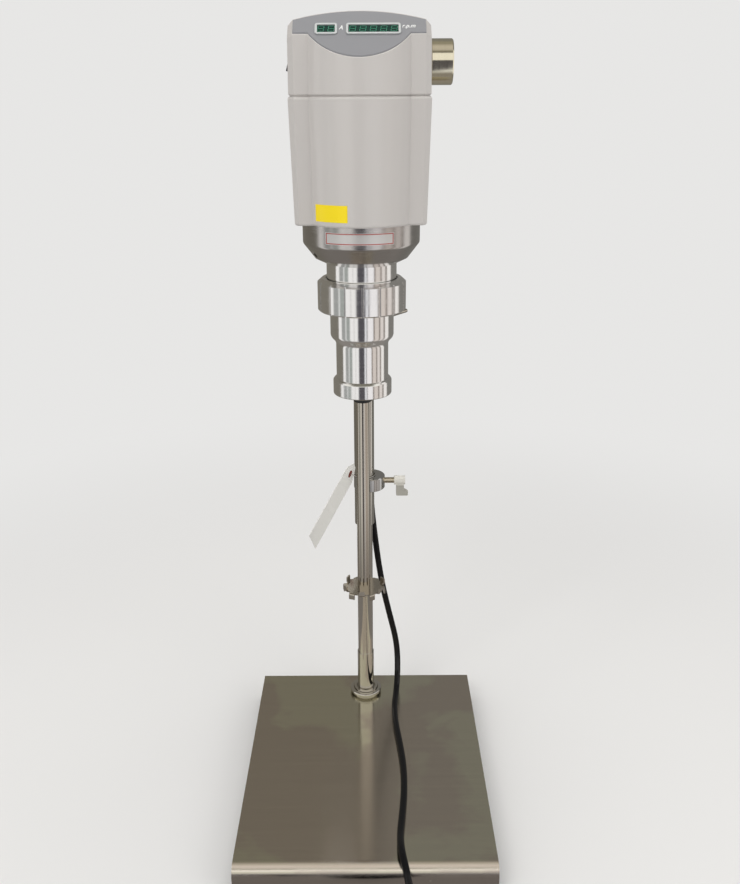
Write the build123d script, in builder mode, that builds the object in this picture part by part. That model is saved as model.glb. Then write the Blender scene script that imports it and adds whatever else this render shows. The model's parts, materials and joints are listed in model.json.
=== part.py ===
"""Bench dispersing mixer on a column stand: a motor head that slides on a two-tube column
and drives a long shaft with an open toothed disc.  Lengths in millimetres, angles in degrees.

Frame: origin at the centre of the base on the bench, +Z up, +X to the right, front is -Y.
"""

import os
from math import atan2, cos, degrees, radians, sin, tan

from build123d import *

os.makedirs("parts", exist_ok=True)


# ---------------------------------------------------------------- driving dimensions

# Base: a folded sheet over a ballast plate on four feet
BASE_WIDTH = 250.0
BASE_DEPTH = 310.0
BASE_HEIGHT = 31.5
SHEET = 2.0
FRONT_BEND = 11.0
BACK_BEND = 3.5
FLANGE_LIFT = 3.0
BALLAST_THICKNESS = 9.0
BALLAST_MARGIN = 7.0
FOOT_RADIUS = 13.0
FOOT_INSET = 30.0
FOOT_CHAMFER = 1.5
FOOT_SCREW = 5.0

# Column: a fixed inner tube in a floor socket, and an outer tube that carries the head
COLUMN_SETBACK = 33.0
COLLAR_RADIUS = 18.5
COLLAR_HEIGHT = 8.0
COLLAR_RIM = 4.0
COLLAR_FOOT_RADIUS = 15.4
COLLAR_BOSS_RADIUS = 13.7
COLLAR_ROUND = 1.6
BOSS_RISE = 1.6
SOCKET_WALL = 0.9
SOCKET_HEIGHT = 56.5
SOCKET_NOTCH = 2.4
INNER_TUBE_RADIUS = 8.65
INNER_TUBE_WALL = 2.3
INNER_TUBE_LENGTH = 468.5
TUBE_FIT = 0.08
OUTER_TUBE_RADIUS = 10.85
OUTER_TUBE_BELOW_HEAD = 351.0
OUTER_TUBE_IN_HEAD = 83.5
COLUMN_BOLT = 8.0
COLUMN_PLUG_HEIGHT = 24.0
WASHER_RADIUS = 11.0
WASHER_HEIGHT = 2.0

# Height clamp near the lower end of the outer tube
CLAMP_RADIUS = 17.0
CLAMP_OFFSET = 5.45
CLAMP_LIFT = 43.2
CLAMP_HEIGHT = 14.4
CLAMP_CHAMFER = 0.8
CLAMP_SCREW_RADIUS = 3.15
CLAMP_SCREW_LIFT = 7.8
LEVER_START = 32.6
LEVER_HUB_LENGTH = 12.2
LEVER_HUB_RADIUS = 5.0
LEVER_ARM_INSET = 2.4
LEVER_ARM_WIDTH = 8.5
LEVER_ARM_THICKNESS = 5.0
LEVER_REACH = 17.8
LEVER_TIP_STEP = 4.6
LEVER_TIP_HEIGHT = 7.3

# Head: lower cover, upper cover with a sloping display face
THROAT = 150.0
HEAD_BOTTOM = 606.5
LOWER_COVER_HEIGHT = 97.7
UPPER_COVER_HEIGHT = 60.8
HEAD_HALF_WIDTH = 55.6
HEAD_BEHIND_COLUMN = 30.0
HEAD_WALL = 3.0
FACET_CORNER = 4.9
FACET_WIDTH = 11.3
FACET_FORWARD = 40.0
BULGE_FORWARD = 19.0
BACK_ROUND = 9.0
LOWER_DRAFT = 1.5
UPPER_DRAFT = 0.7
UPPER_INSET = 0.6
RIM_ROUND = 2.4
UPPER_RIM = 1.4
CROWN_RADIUS = 200.0
CROWN_EDGE = 0.6
DISPLAY_RISE = 25.4
DISPLAY_SLOPE = 41.4
VENT_DROP = 45.0
VENT_PITCH = 8.0
VENT_COUNT = 6
VENT_LENGTH = 70.0
VENT_HEIGHT = 3.0
COVER_SCREW_RADIUS = 2.0
COVER_SCREW_HEAD_RADIUS = 3.6
COVER_SCREW_HEAD_HEIGHT = 2.0

# Display panel: window frames on the slope, measured from the middle of its front edge
PANEL_THICKNESS = 0.8
PANEL_MARGIN = 1.1
PANEL_SIDE_GAP = 0.5
WINDOW_LOW = 25.7
WINDOW_HEIGHT = 11.9
WINDOW_RIM = 1.7
WINDOW_RIM_RISE = 0.9
WINDOW_ROUND = 2.2
SMALL_WINDOW_X = -25.0
SMALL_WINDOW_WIDTH = 16.8
LARGE_WINDOW_X = 10.6
LARGE_WINDOW_WIDTH = 41.0
BOARD_DROP = 13.0
BOARD_THICKNESS = 1.6
BOARD_HALF_WIDTH = 34.5
BOARD_BELOW_WINDOW = 5.2
BOARD_ABOVE_WINDOW = 5.4
PILLAR_RADIUS = 2.5
PILLAR_X = 30.0
PILLAR_INSET_LOW = 3.5
PILLAR_INSET_HIGH = 3.6

# Speed knob and power rocker
KNOB_RADIUS = 17.2
KNOB_STAND = 17.7
KNOB_RISE = 24.9
KNOB_GAP = 0.8
KNOB_CHAMFER = 0.9
KNOB_SPINDLE = 3.0
BUSH_RADIUS = 4.5
POT_BODY_RADIUS = 9.0
POT_BODY_LENGTH = 12.0
ROCKER_SETBACK = 8.0
ROCKER_RISE = 25.8
ROCKER_WIDTH = 11.6
ROCKER_LENGTH = 17.0
ROCKER_TILT = 8.0
ROCKER_PIVOT_DEPTH = 4.0
ROCKER_PIVOT_RADIUS = 1.5
SWITCH_BODY_WIDTH = 13.2
SWITCH_BODY_LENGTH = 19.4
SWITCH_DEPTH = 16.0
SWITCH_FLOOR = 4.0
SWITCH_FIT = 0.4
BEZEL = 1.8

# Drive line below the head, each height taken from the piece above or below it
FLANGE_RADIUS = 49.3
FLANGE_BAND = 17.5
FLANGE_CONE_HEIGHT = 12.6
FLANGE_FOOT = 4.8
CONE_SMALL_RADIUS = 39.6
FLANGE_ROUND = 4.0
FLANGE_SPIGOT = 41.0
FLANGE_SCREW_CIRCLE = 33.0
FLANGE_SCREW_RADIUS = 2.5
FLANGE_SCREW_GRIP = 10.0
FLANGE_HEAD_RADIUS = 4.3
FLANGE_HEAD_HEIGHT = 3.0
SET_SCREW_RISE = 4.6
SET_SCREW_ANGLE = 207.0
SET_SCREW_RADIUS = 2.5
NECK_RADIUS = 29.9
NECK_BORE = 21.0
NECK_LENGTH = 30.6
NUT_RADIUS = 38.0
NUT_HEIGHT = 27.6
NUT_OVERLAP = 10.0
NUT_CHAMFER = 3.3
NUT_EDGE = 1.2
NUT_LAND_RADIUS = 34.2
NUT_LIP = 5.0
NUT_THROAT = 30.9
NUT_THROAT_DEPTH = 4.0
NUT_GROOVES = 16
NUT_GROOVE_WIDTH = 1.6
NUT_GROOVE_DEPTH = 1.3
NUT_GROOVE_ROUND = 0.3
FIRST_GROOVE = -88.5
NUT_FIT = 0.08
HOUSING_RADIUS = 27.6
HOUSING_COLLAR = 20.8
HOUSING_SHOULDER_HEIGHT = 9.7
HOUSING_LOW_RADIUS = 22.9
HOUSING_WAIST_LENGTH = 29.5
CAP_RADIUS = 25.9
CAP_HEIGHT = 15.4
CAP_STEP = 3.0
SEAL_RADIUS = 8.4
SEAL_DROP = 8.6
TOMMY_ANGLE = 53.0
TOMMY_RADIUS = 1.8
TOMMY_REACH = 68.0
TOMMY_DROP = 13.5
TOMMY_SEAT = 4.0

# Rotating parts
SHAFT_RADIUS = 6.0
SHAFT_BELOW_NUT = 3.0
SHAFT_REACH = 270.0
STUD_RADIUS = 3.0
STUD_END = 1.5
DISC_NUT_HEIGHT = 3.0
BEARING_RADIUS = 14.0
BEARING_WIDTH = 8.0
BEARING_LIP = 2.5
LOW_BEARING_LIFT = 3.0
HIGH_BEARING_DROP = 4.5
RUNNING_FIT = 0.06
COUPLING_RADIUS = 16.0
COUPLING_HEIGHT = 18.0
SPIDER_HEIGHT = 8.0
DISC_THICKNESS = 1.5
DISC_TEETH = 12
TOOTH_RADIUS = 20.2
TOOTH_WIDTH = 5.6
TOOTH_RISE = 5.0
TOOTH_ROOT = 5.0
TOOTH_ATTACK = 14.0
FIRST_TOOTH = 23.0

# Motor and inner parts
CHASSIS_THICKNESS = 6.0
PLATE_SIDE_GAP = 9.6
PLATE_FORWARD = 33.0
PLATE_BACK_GAP = 6.0
PLATE_ROUND = 12.0
BRACKET_WIDTH = 46.0
BRACKET_DEPTH = 30.0
BRACKET_HEIGHT = 52.0
BRACKET_FORWARD = 5.0
BRACKET_CHAMFER = 3.0
MOTOR_RADIUS = 39.0
MOTOR_HEIGHT = 62.0
MOTOR_WALL = 3.0
MOTOR_LID = 5.0
MOTOR_SHAFT_RADIUS = 5.0
MOTOR_SHAFT_END = 16.0
MOTOR_VENT_RADIUS = 4.5
STATOR_LOW_GAP = 8.0
STATOR_HIGH_GAP = 10.0
AIR_GAP = 1.0
ROTOR_RADIUS = 21.0
ROTOR_LOW_GAP = 10.0
ROTOR_HIGH_GAP = 12.0
FAN_RADIUS = 33.0
FAN_LIFT = 8.0
FAN_BLADES = 9
FAN_SHEET = 1.5
FAN_HEIGHT = 8.0
SUPPLY_FORWARD = 56.0
SUPPLY_X = -12.0
SUPPLY_WIDTH = 50.0
SUPPLY_DEPTH = 42.0
SUPPLY_HEIGHT = 30.0
CHOKE_WIDTH = 30.0
CHOKE_DEPTH = 50.0
CHOKE_HEIGHT = 12.0
SINK_X = 33.0
SINK_THICKNESS = 3.0
SINK_LENGTH = 66.0
SINK_HEIGHT = 55.0
SINK_SHIFT = 6.0
FIN_PITCH = 9.0
FIN_COUNT = 7
FIN_REACH = 7.0
FIN_THICKNESS = 2.4
FIN_HEIGHT = 48.0

# Cord, plug and coil
CORD_RADIUS = 3.5
CORD_EXIT_X = 5.0
CORD_BEHIND_COLUMN = 17.5
RELIEF_LENGTH = 34.0
RELIEF_NECK = 5.0
RELIEF_COLLAR = 1.0
RELIEF_TIP = 4.2
TIE_THICKNESS = 0.8
TIE_WIDTH = 8.0
COIL_TURN_RADIUS = 40.0
COIL_X = 3.0
COIL_IN_FRONT = 73.0
PLUG_FROM_COIL = 46.0
PLUG_BODY_WIDTH = 24.0
PLUG_BODY_HEIGHT = 16.0
PLUG_BODY_LENGTH = 28.0
PLUG_RELIEF = 22.0
PLUG_ROUND = 4.0
BLADE_SPACING = 12.7
BLADE_LENGTH = 17.0
BLADE_WIDTH = 6.3
BLADE_THICKNESS = 1.5

# Labels and the paper tag
LABEL_THICKNESS = 0.2
ASSET_LABEL_X = -23.0
ASSET_LABEL_LIFT = 11.1
ASSET_LABEL_WIDTH = 25.5
ASSET_LABEL_HEIGHT = 13.2
FLANGE_LABEL_X = -1.0
FLANGE_LABEL_LIFT = 3.6
FLANGE_LABEL_WIDTH = 55.0
FLANGE_LABEL_HEIGHT = 9.5
TAG_THICKNESS = 0.5
TAG_LENGTH = 97.0
TAG_WIDTH = 34.0
TAG_CLIP = 12.0
TAG_EYE = 11.0
TAG_HOLE_X = -15.3
TAG_HOLE_FORWARD = 25.0
TAG_HOLE_LIFT = 25.6
TAG_DOWN = (-0.448, -0.646, -0.618)
TAG_FACE = (0.884, -0.423, -0.199)
EYELET_RADIUS = 4.0
EYELET_SHEET = 0.3
WIRE_RADIUS = 0.5

CLEARANCE = 0.3

# ---------------------------------------------------------------- derived places

COLUMN_Y = BASE_DEPTH / 2 - COLUMN_SETBACK
SHAFT_Y = COLUMN_Y - THROAT
COLUMN_AXIS = (0, COLUMN_Y)
SHAFT_AXIS = (0, SHAFT_Y)
BALLAST_TOP = BASE_HEIGHT - SHEET
COLLAR_TOP = BASE_HEIGHT + COLLAR_HEIGHT
SOCKET_RADIUS = INNER_TUBE_RADIUS + SOCKET_WALL
SOCKET_TOP = BASE_HEIGHT + SOCKET_HEIGHT
INNER_TUBE_TOP = BASE_HEIGHT + INNER_TUBE_LENGTH
OUTER_TUBE_BOTTOM = HEAD_BOTTOM - OUTER_TUBE_BELOW_HEAD
OUTER_TUBE_TOP = HEAD_BOTTOM + OUTER_TUBE_IN_HEAD
CLAMP_BOTTOM = OUTER_TUBE_BOTTOM + CLAMP_LIFT
CLAMP_SCREW_Z = CLAMP_BOTTOM + CLAMP_SCREW_LIFT

PARTING = HEAD_BOTTOM + LOWER_COVER_HEIGHT
HEAD_TOP = PARTING + UPPER_COVER_HEIGHT
HEAD_BACK = COLUMN_Y + HEAD_BEHIND_COLUMN
FACET_Y = SHAFT_Y - FACET_FORWARD
BULGE_FRONT = FACET_Y - BULGE_FORWARD
FACET_HALF_WIDTH = HEAD_HALF_WIDTH - FACET_CORNER
BULGE_HALF_WIDTH = FACET_HALF_WIDTH - FACET_WIDTH
PANEL_HALF_WIDTH = FACET_HALF_WIDTH - PANEL_SIDE_GAP
DISPLAY_FRONT_Z = PARTING + DISPLAY_RISE
SLOPE_REACH = HEAD_BACK - BULGE_FRONT + UPPER_COVER_HEIGHT
SLOPE_PLANE = Plane(
    origin=(0, BULGE_FRONT, DISPLAY_FRONT_Z),
    x_dir=(1, 0, 0),
    z_dir=(0, -sin(radians(DISPLAY_SLOPE)), cos(radians(DISPLAY_SLOPE))),
)
WINDOWS = [(SMALL_WINDOW_X, SMALL_WINDOW_WIDTH), (LARGE_WINDOW_X, LARGE_WINDOW_WIDTH)]
WINDOW_MIDDLE = WINDOW_LOW + WINDOW_HEIGHT / 2
BOARD_LOW = WINDOW_LOW - BOARD_BELOW_WINDOW
BOARD_HIGH = WINDOW_LOW + WINDOW_HEIGHT + BOARD_ABOVE_WINDOW
PILLAR_LOW = BOARD_LOW + PILLAR_INSET_LOW
PILLAR_HIGH = BOARD_HIGH - PILLAR_INSET_HIGH
HEAD_FLOOR = HEAD_BOTTOM + HEAD_WALL
CHASSIS_TOP = HEAD_FLOOR + CHASSIS_THICKNESS
COVER_SCREW_PLACES = [
    (-42, SHAFT_Y + 50),
    (42, SHAFT_Y + 50),
    (-40, COLUMN_Y + 16),
    (40, COLUMN_Y + 16),
]
KNOB_Z = PARTING + KNOB_RISE
KNOB_END = HEAD_HALF_WIDTH + KNOB_STAND
ROCKER_Y = SHAFT_Y + ROCKER_SETBACK
ROCKER_Z = PARTING + ROCKER_RISE

FLANGE_CONE_TOP = HEAD_BOTTOM - FLANGE_BAND
FLANGE_CONE_BOTTOM = FLANGE_CONE_TOP - FLANGE_CONE_HEIGHT
NECK_TOP = FLANGE_CONE_BOTTOM - FLANGE_FOOT
HOUSING_TOP = NECK_TOP - NECK_LENGTH
NUT_BOTTOM = HOUSING_TOP - NUT_OVERLAP
NUT_TOP = NUT_BOTTOM + NUT_HEIGHT
NUT_CHAMFER_BOTTOM = NUT_TOP - NUT_CHAMFER
HOUSING_SHOULDER = NUT_BOTTOM - HOUSING_COLLAR
HOUSING_WAIST = HOUSING_SHOULDER - HOUSING_SHOULDER_HEIGHT
CAP_TOP = HOUSING_WAIST - HOUSING_WAIST_LENGTH
CAP_BOTTOM = CAP_TOP - CAP_HEIGHT
SEAL_BOTTOM = CAP_BOTTOM - SEAL_DROP
SET_SCREW_Z = FLANGE_CONE_BOTTOM + SET_SCREW_RISE
TOMMY_Z = NUT_BOTTOM - TOMMY_DROP
LOW_BEARING_Z = CAP_TOP + LOW_BEARING_LIFT
HIGH_BEARING_Z = HOUSING_WAIST - HIGH_BEARING_DROP
SHAFT_TOP = NUT_BOTTOM - SHAFT_BELOW_NUT
DISC_Z = SHAFT_TOP - SHAFT_REACH
MOTOR_SHAFT_BOTTOM = SHAFT_TOP + SPIDER_HEIGHT
MOTOR_TOP = CHASSIS_TOP + MOTOR_HEIGHT

CORD_EXIT_Y = COLUMN_Y + CORD_BEHIND_COLUMN
COIL_Y = -BASE_DEPTH / 2 - COIL_IN_FRONT
ASSET_LABEL_Z = HEAD_BOTTOM + ASSET_LABEL_LIFT
FLANGE_LABEL_LOW = FLANGE_CONE_TOP + FLANGE_LABEL_LIFT
TAG_HOLE = (TAG_HOLE_X, COLUMN_Y - TAG_HOLE_FORWARD, CLAMP_BOTTOM + TAG_HOLE_LIFT)


def save(part, name):
    """Label a finished piece and write it as one STEP file."""
    part.label = name
    export_step(part, f"parts/{name}.step")


def upright(height, centre=(0, 0)):
    """Horizontal plane at a height, centred on a vertical axis."""
    return Plane(origin=(centre[0], centre[1], height))


def turned(profile, centre=SHAFT_AXIS):
    """Solid of revolution about a vertical axis from (radius, height) points."""
    with BuildPart() as work:
        with BuildSketch(Plane(origin=(centre[0], centre[1], 0), x_dir=(1, 0, 0), z_dir=(0, -1, 0))):
            with BuildLine():
                Polyline(*profile, close=True)
            make_face()
        revolve(axis=Axis((centre[0], centre[1], 0), (0, 0, 1)))
    return work.part


def tube(outer, inner, bottom, top, centre=SHAFT_AXIS):
    """Plain ring or tube on a vertical axis."""
    with BuildPart() as work:
        with BuildSketch(upright(bottom, centre)):
            Circle(outer)
            Circle(inner, mode=Mode.SUBTRACT)
        extrude(amount=top - bottom)
    return work.part


def tommy_plane(distance):
    """Plane square to the tommy bar, `distance` from the shaft axis."""
    out = (cos(radians(TOMMY_ANGLE)), sin(radians(TOMMY_ANGLE)), 0)
    return Plane(origin=(0, SHAFT_Y, TOMMY_Z), x_dir=(0, 0, 1), z_dir=out).offset(distance)


# ---------------------------------------------------------------- base

FOOT_X = BASE_WIDTH / 2 - FOOT_INSET
FOOT_Y = BASE_DEPTH / 2 - FOOT_INSET

with BuildPart() as base_cover:
    front, back = -BASE_DEPTH / 2, BASE_DEPTH / 2
    with BuildSketch(Plane.YZ.offset(-BASE_WIDTH / 2)):
        with BuildLine():
            bends = FilletPolyline(
                (front + SHEET / 2, FLANGE_LIFT),
                (front + SHEET / 2, BASE_HEIGHT - SHEET / 2),
                (back - SHEET / 2, BASE_HEIGHT - SHEET / 2),
                (back - SHEET / 2, FLANGE_LIFT),
                radius=[FRONT_BEND - SHEET / 2, BACK_BEND - SHEET / 2],
            )
            offset(bends, amount=SHEET / 2, side=Side.BOTH)
        make_face()
    extrude(amount=BASE_WIDTH)
    with Locations((0, COLUMN_Y, BASE_HEIGHT)):
        Hole(COLUMN_BOLT / 2 + CLEARANCE)
save(base_cover.part, "base_cover")

with BuildPart() as ballast_plate:
    with BuildSketch(Plane.XY.offset(BALLAST_TOP - BALLAST_THICKNESS)):
        Rectangle(BASE_WIDTH - 2 * BALLAST_MARGIN, BASE_DEPTH - 2 * FRONT_BEND - 2 * CLEARANCE)
        with Locations(COLUMN_AXIS):
            Circle(COLUMN_BOLT / 2 + CLEARANCE, mode=Mode.SUBTRACT)
        with GridLocations(2 * FOOT_X, 2 * FOOT_Y, 2, 2):
            Circle(FOOT_SCREW / 2, mode=Mode.SUBTRACT)
    extrude(amount=BALLAST_THICKNESS)
save(ballast_plate.part, "ballast_plate")

FOOT_HEIGHT = BALLAST_TOP - BALLAST_THICKNESS
FOOT_POCKET = FOOT_HEIGHT / 2
with BuildPart() as base_feet:
    with BuildSketch():
        with GridLocations(2 * FOOT_X, 2 * FOOT_Y, 2, 2):
            Circle(FOOT_RADIUS)
    extrude(amount=FOOT_HEIGHT)
    bottom_edges = base_feet.edges().group_by(Axis.Z)[0]
    chamfer(bottom_edges, length=FOOT_CHAMFER)
    with GridLocations(2 * FOOT_X, 2 * FOOT_Y, 2, 2):
        Cylinder(
            FOOT_SCREW, FOOT_POCKET, align=(Align.CENTER, Align.CENTER, Align.MIN), mode=Mode.SUBTRACT
        )
        Cylinder(
            FOOT_SCREW / 2,
            FOOT_HEIGHT,
            align=(Align.CENTER, Align.CENTER, Align.MIN),
            mode=Mode.SUBTRACT,
        )
save(base_feet.part, "base_feet")

with BuildPart() as foot_screws:
    with BuildSketch(Plane.XY.offset(FOOT_POCKET)):
        with GridLocations(2 * FOOT_X, 2 * FOOT_Y, 2, 2):
            Circle(FOOT_SCREW / 2)
    extrude(amount=FOOT_HEIGHT - FOOT_POCKET + BALLAST_THICKNESS)
    with BuildSketch(Plane.XY.offset(FOOT_POCKET)):
        with GridLocations(2 * FOOT_X, 2 * FOOT_Y, 2, 2):
            Circle(FOOT_SCREW * 0.9)
    extrude(amount=-FOOT_SCREW * 0.6)
save(foot_screws.part, "foot_screws")

# ---------------------------------------------------------------- column

with BuildPart() as column_flange:
    flange_profile = [
        (SOCKET_RADIUS, BASE_HEIGHT),
        (COLLAR_FOOT_RADIUS, BASE_HEIGHT),
        (COLLAR_FOOT_RADIUS, COLLAR_TOP - BOSS_RISE - COLLAR_RIM),
        (COLLAR_RADIUS - 1.0, COLLAR_TOP - BOSS_RISE - COLLAR_RIM),
        (COLLAR_RADIUS, COLLAR_TOP - BOSS_RISE - COLLAR_RIM + 1.0),
        (COLLAR_RADIUS, COLLAR_TOP - BOSS_RISE),
        (COLLAR_BOSS_RADIUS + 0.8, COLLAR_TOP - BOSS_RISE),
        (COLLAR_BOSS_RADIUS, COLLAR_TOP - BOSS_RISE - 0.8),
        (COLLAR_BOSS_RADIUS, COLLAR_TOP),
        (SOCKET_RADIUS + 1.6, COLLAR_TOP),
        (SOCKET_RADIUS + 0.6, COLLAR_TOP - 1.2),
        (SOCKET_RADIUS, COLLAR_TOP - 1.2),
    ]
    add(turned(flange_profile, COLUMN_AXIS))
    rim = column_flange.edges().filter_by(GeomType.CIRCLE)
    outer_rim = [
        e for e in rim
        if abs(e.radius - COLLAR_RADIUS) < 0.01 and e.center().Z > COLLAR_TOP - BOSS_RISE - 0.1
    ]
    fillet(outer_rim, radius=COLLAR_ROUND)
save(column_flange.part, "column_flange")

with BuildPart() as column_socket:
    add(tube(SOCKET_RADIUS, INNER_TUBE_RADIUS, BASE_HEIGHT, SOCKET_TOP, COLUMN_AXIS))
    with Locations(upright(SOCKET_TOP, COLUMN_AXIS)):
        with PolarLocations(SOCKET_RADIUS, 2, start_angle=-125, angular_range=160):
            Cylinder(SOCKET_NOTCH / 2, SOCKET_NOTCH, mode=Mode.SUBTRACT)
save(column_socket.part, "column_socket")

inner_column = turned(
    [
        (COLUMN_BOLT / 2, BASE_HEIGHT),
        (INNER_TUBE_RADIUS, BASE_HEIGHT),
        (INNER_TUBE_RADIUS, INNER_TUBE_TOP),
        (INNER_TUBE_RADIUS - INNER_TUBE_WALL, INNER_TUBE_TOP),
        (INNER_TUBE_RADIUS - INNER_TUBE_WALL, BASE_HEIGHT + COLUMN_PLUG_HEIGHT),
        (COLUMN_BOLT / 2, BASE_HEIGHT + COLUMN_PLUG_HEIGHT),
    ],
    COLUMN_AXIS,
)
save(inner_column, "inner_column")

with BuildPart() as column_bolt:
    with BuildSketch(upright(FOOT_HEIGHT, COLUMN_AXIS)):
        Circle(COLUMN_BOLT / 2)
    extrude(amount=BASE_HEIGHT + COLUMN_PLUG_HEIGHT - FOOT_HEIGHT)
    with BuildSketch(upright(FOOT_HEIGHT, COLUMN_AXIS)):
        Circle(WASHER_RADIUS)
    extrude(amount=-WASHER_HEIGHT)
    with BuildSketch(upright(FOOT_HEIGHT - WASHER_HEIGHT, COLUMN_AXIS)):
        RegularPolygon(COLUMN_BOLT * 0.9, 6)
    extrude(amount=-COLUMN_BOLT * 0.65)
save(column_bolt.part, "column_bolt")

SLEEVE_BORE = INNER_TUBE_RADIUS + TUBE_FIT
with BuildPart() as outer_sleeve:
    add(tube(OUTER_TUBE_RADIUS, SLEEVE_BORE, OUTER_TUBE_BOTTOM, OUTER_TUBE_TOP, COLUMN_AXIS))
    with BuildSketch(Plane.YZ):
        with Locations((COLUMN_Y, CLAMP_SCREW_Z)):
            Circle(CLAMP_SCREW_RADIUS + CLEARANCE)
    extrude(amount=OUTER_TUBE_RADIUS + 5, mode=Mode.SUBTRACT)
save(outer_sleeve.part, "outer_sleeve")

with BuildPart() as clamp_collar:
    with BuildSketch(upright(CLAMP_BOTTOM, (CLAMP_OFFSET, COLUMN_Y))):
        Circle(CLAMP_RADIUS)
    extrude(amount=CLAMP_HEIGHT)
    chamfer(clamp_collar.edges().filter_by(GeomType.CIRCLE), length=CLAMP_CHAMFER)
    with BuildSketch(upright(CLAMP_BOTTOM, COLUMN_AXIS)):
        Circle(OUTER_TUBE_RADIUS)
    extrude(amount=CLAMP_HEIGHT, mode=Mode.SUBTRACT)
    with BuildSketch(Plane.YZ):
        with Locations((COLUMN_Y, CLAMP_SCREW_Z)):
            Circle(CLAMP_SCREW_RADIUS + RUNNING_FIT)
    extrude(amount=CLAMP_OFFSET + CLAMP_RADIUS + 5, mode=Mode.SUBTRACT)
save(clamp_collar.part, "clamp_collar")

SCREW_TIP = INNER_TUBE_RADIUS + CLEARANCE
with BuildPart() as clamp_screw:
    with BuildSketch(Plane.YZ.offset(SCREW_TIP)):
        with Locations((COLUMN_Y, CLAMP_SCREW_Z)):
            Circle(CLAMP_SCREW_RADIUS)
    extrude(amount=LEVER_START - SCREW_TIP)
    chamfer(clamp_screw.edges().group_by(Axis.X)[0], length=0.5)
save(clamp_screw.part, "clamp_screw")

with BuildPart() as clamp_lever:
    with BuildSketch(Plane.YZ.offset(LEVER_START)):
        with Locations((COLUMN_Y, CLAMP_SCREW_Z)):
            Circle(LEVER_HUB_RADIUS)
    extrude(amount=LEVER_HUB_LENGTH)
    arm_left = LEVER_START + LEVER_ARM_INSET
    arm_right = arm_left + LEVER_ARM_WIDTH
    arm_low = CLAMP_SCREW_Z - LEVER_REACH
    with BuildSketch(Plane.XZ.offset(-COLUMN_Y)):
        with BuildLine():
            Polyline(
                (arm_left, CLAMP_SCREW_Z),
                (arm_left, arm_low),
                (arm_right + LEVER_TIP_STEP, arm_low),
                (arm_right + LEVER_TIP_STEP, arm_low + LEVER_TIP_HEIGHT * 0.62),
                (arm_right, arm_low + LEVER_TIP_HEIGHT),
                (arm_right, CLAMP_SCREW_Z),
                close=True,
            )
        make_face()
    extrude(amount=LEVER_ARM_THICKNESS / 2, both=True)
    fillet(clamp_lever.edges().group_by(Axis.Z)[0].filter_by(Axis.Y), radius=1.2)
    chamfer(clamp_lever.faces().sort_by(Axis.X)[0].edges(), length=0.6)
save(clamp_lever.part, "clamp_lever")


# ---------------------------------------------------------------- head covers

def head_outline(inset):
    """Plan of the head at the parting line, moved in by `inset`."""
    with BuildSketch(Plane.XY.offset(PARTING)) as plan:
        with BuildLine():
            corner = HEAD_HALF_WIDTH - FACET_HALF_WIDTH
            ThreePointArc((-BULGE_HALF_WIDTH, FACET_Y), (0, BULGE_FRONT), (BULGE_HALF_WIDTH, FACET_Y))
            Polyline(
                (BULGE_HALF_WIDTH, FACET_Y),
                (FACET_HALF_WIDTH, FACET_Y),
                (HEAD_HALF_WIDTH, FACET_Y + corner),
                (HEAD_HALF_WIDTH, HEAD_BACK - BACK_ROUND),
                (HEAD_HALF_WIDTH - BACK_ROUND, HEAD_BACK),
                (-HEAD_HALF_WIDTH + BACK_ROUND, HEAD_BACK),
                (-HEAD_HALF_WIDTH, HEAD_BACK - BACK_ROUND),
                (-HEAD_HALF_WIDTH, FACET_Y + corner),
                (-FACET_HALF_WIDTH, FACET_Y),
                (-BULGE_HALF_WIDTH, FACET_Y),
            )
        make_face()
        if inset:
            offset(amount=-inset, kind=Kind.INTERSECTION)
    return plan.sketch


def crown_edge(drop):
    """Half width at which the crown meets its side chamfer, `drop` under the outer face."""
    return FACET_HALF_WIDTH - CROWN_EDGE - drop * 0.4


def crown_profile(drop, side):
    """Front view of the upper cover: arched top with a chamfer along each side.

    `drop` lowers the arch and chamfers by a wall, `side` is the half width it reaches."""
    crown_side = crown_edge(drop)
    crown_z = HEAD_TOP - drop
    side_z = crown_z - (CROWN_RADIUS - (CROWN_RADIUS**2 - crown_side**2) ** 0.5)
    low_z = side_z - (side - crown_side)
    with BuildSketch(Plane.XZ.offset(-HEAD_BACK - 20)) as view:
        with BuildLine():
            ThreePointArc((-crown_side, side_z), (0, crown_z), (crown_side, side_z))
            Polyline(
                (crown_side, side_z),
                (side, low_z),
                (side, PARTING - 1),
                (-side, PARTING - 1),
                (-side, low_z),
                (-crown_side, side_z),
            )
        make_face()
    return view.sketch


def slope_side(depth):
    """Side view of everything below the display slope, `depth` under its face."""
    rise = tan(radians(DISPLAY_SLOPE))
    before = BULGE_FORWARD
    beyond = 2 * (HEAD_TOP - DISPLAY_FRONT_Z) / rise
    low_y, high_y = BULGE_FRONT - before, BULGE_FRONT + beyond
    start = DISPLAY_FRONT_Z - depth / cos(radians(DISPLAY_SLOPE))
    with BuildSketch(Plane.YZ.offset(-HEAD_HALF_WIDTH - 5)) as view:
        with BuildLine():
            Polyline(
                (low_y, PARTING - 1),
                (low_y, start - before * rise),
                (high_y, start + beyond * rise),
                (HEAD_BACK + 20, start + beyond * rise),
                (HEAD_BACK + 20, PARTING - 1),
                close=True,
            )
        make_face()
    return view.sketch


def slope_corners(depth):
    """Prism along the slope that chamfers its two side edges."""
    edge = crown_edge(depth)
    reach = HEAD_HALF_WIDTH + 5 - edge
    along = Plane(origin=SLOPE_PLANE.origin, x_dir=(1, 0, 0), z_dir=-SLOPE_PLANE.y_dir)
    with BuildSketch(along.offset(-SLOPE_REACH)) as end:
        with BuildLine():
            Polyline(
                (-edge, -depth),
                (edge, -depth),
                (edge + reach, -depth - reach),
                (edge + reach, -SLOPE_REACH),
                (-edge - reach, -SLOPE_REACH),
                (-edge - reach, -depth - reach),
                close=True,
            )
        make_face()
    return end.sketch


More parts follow.
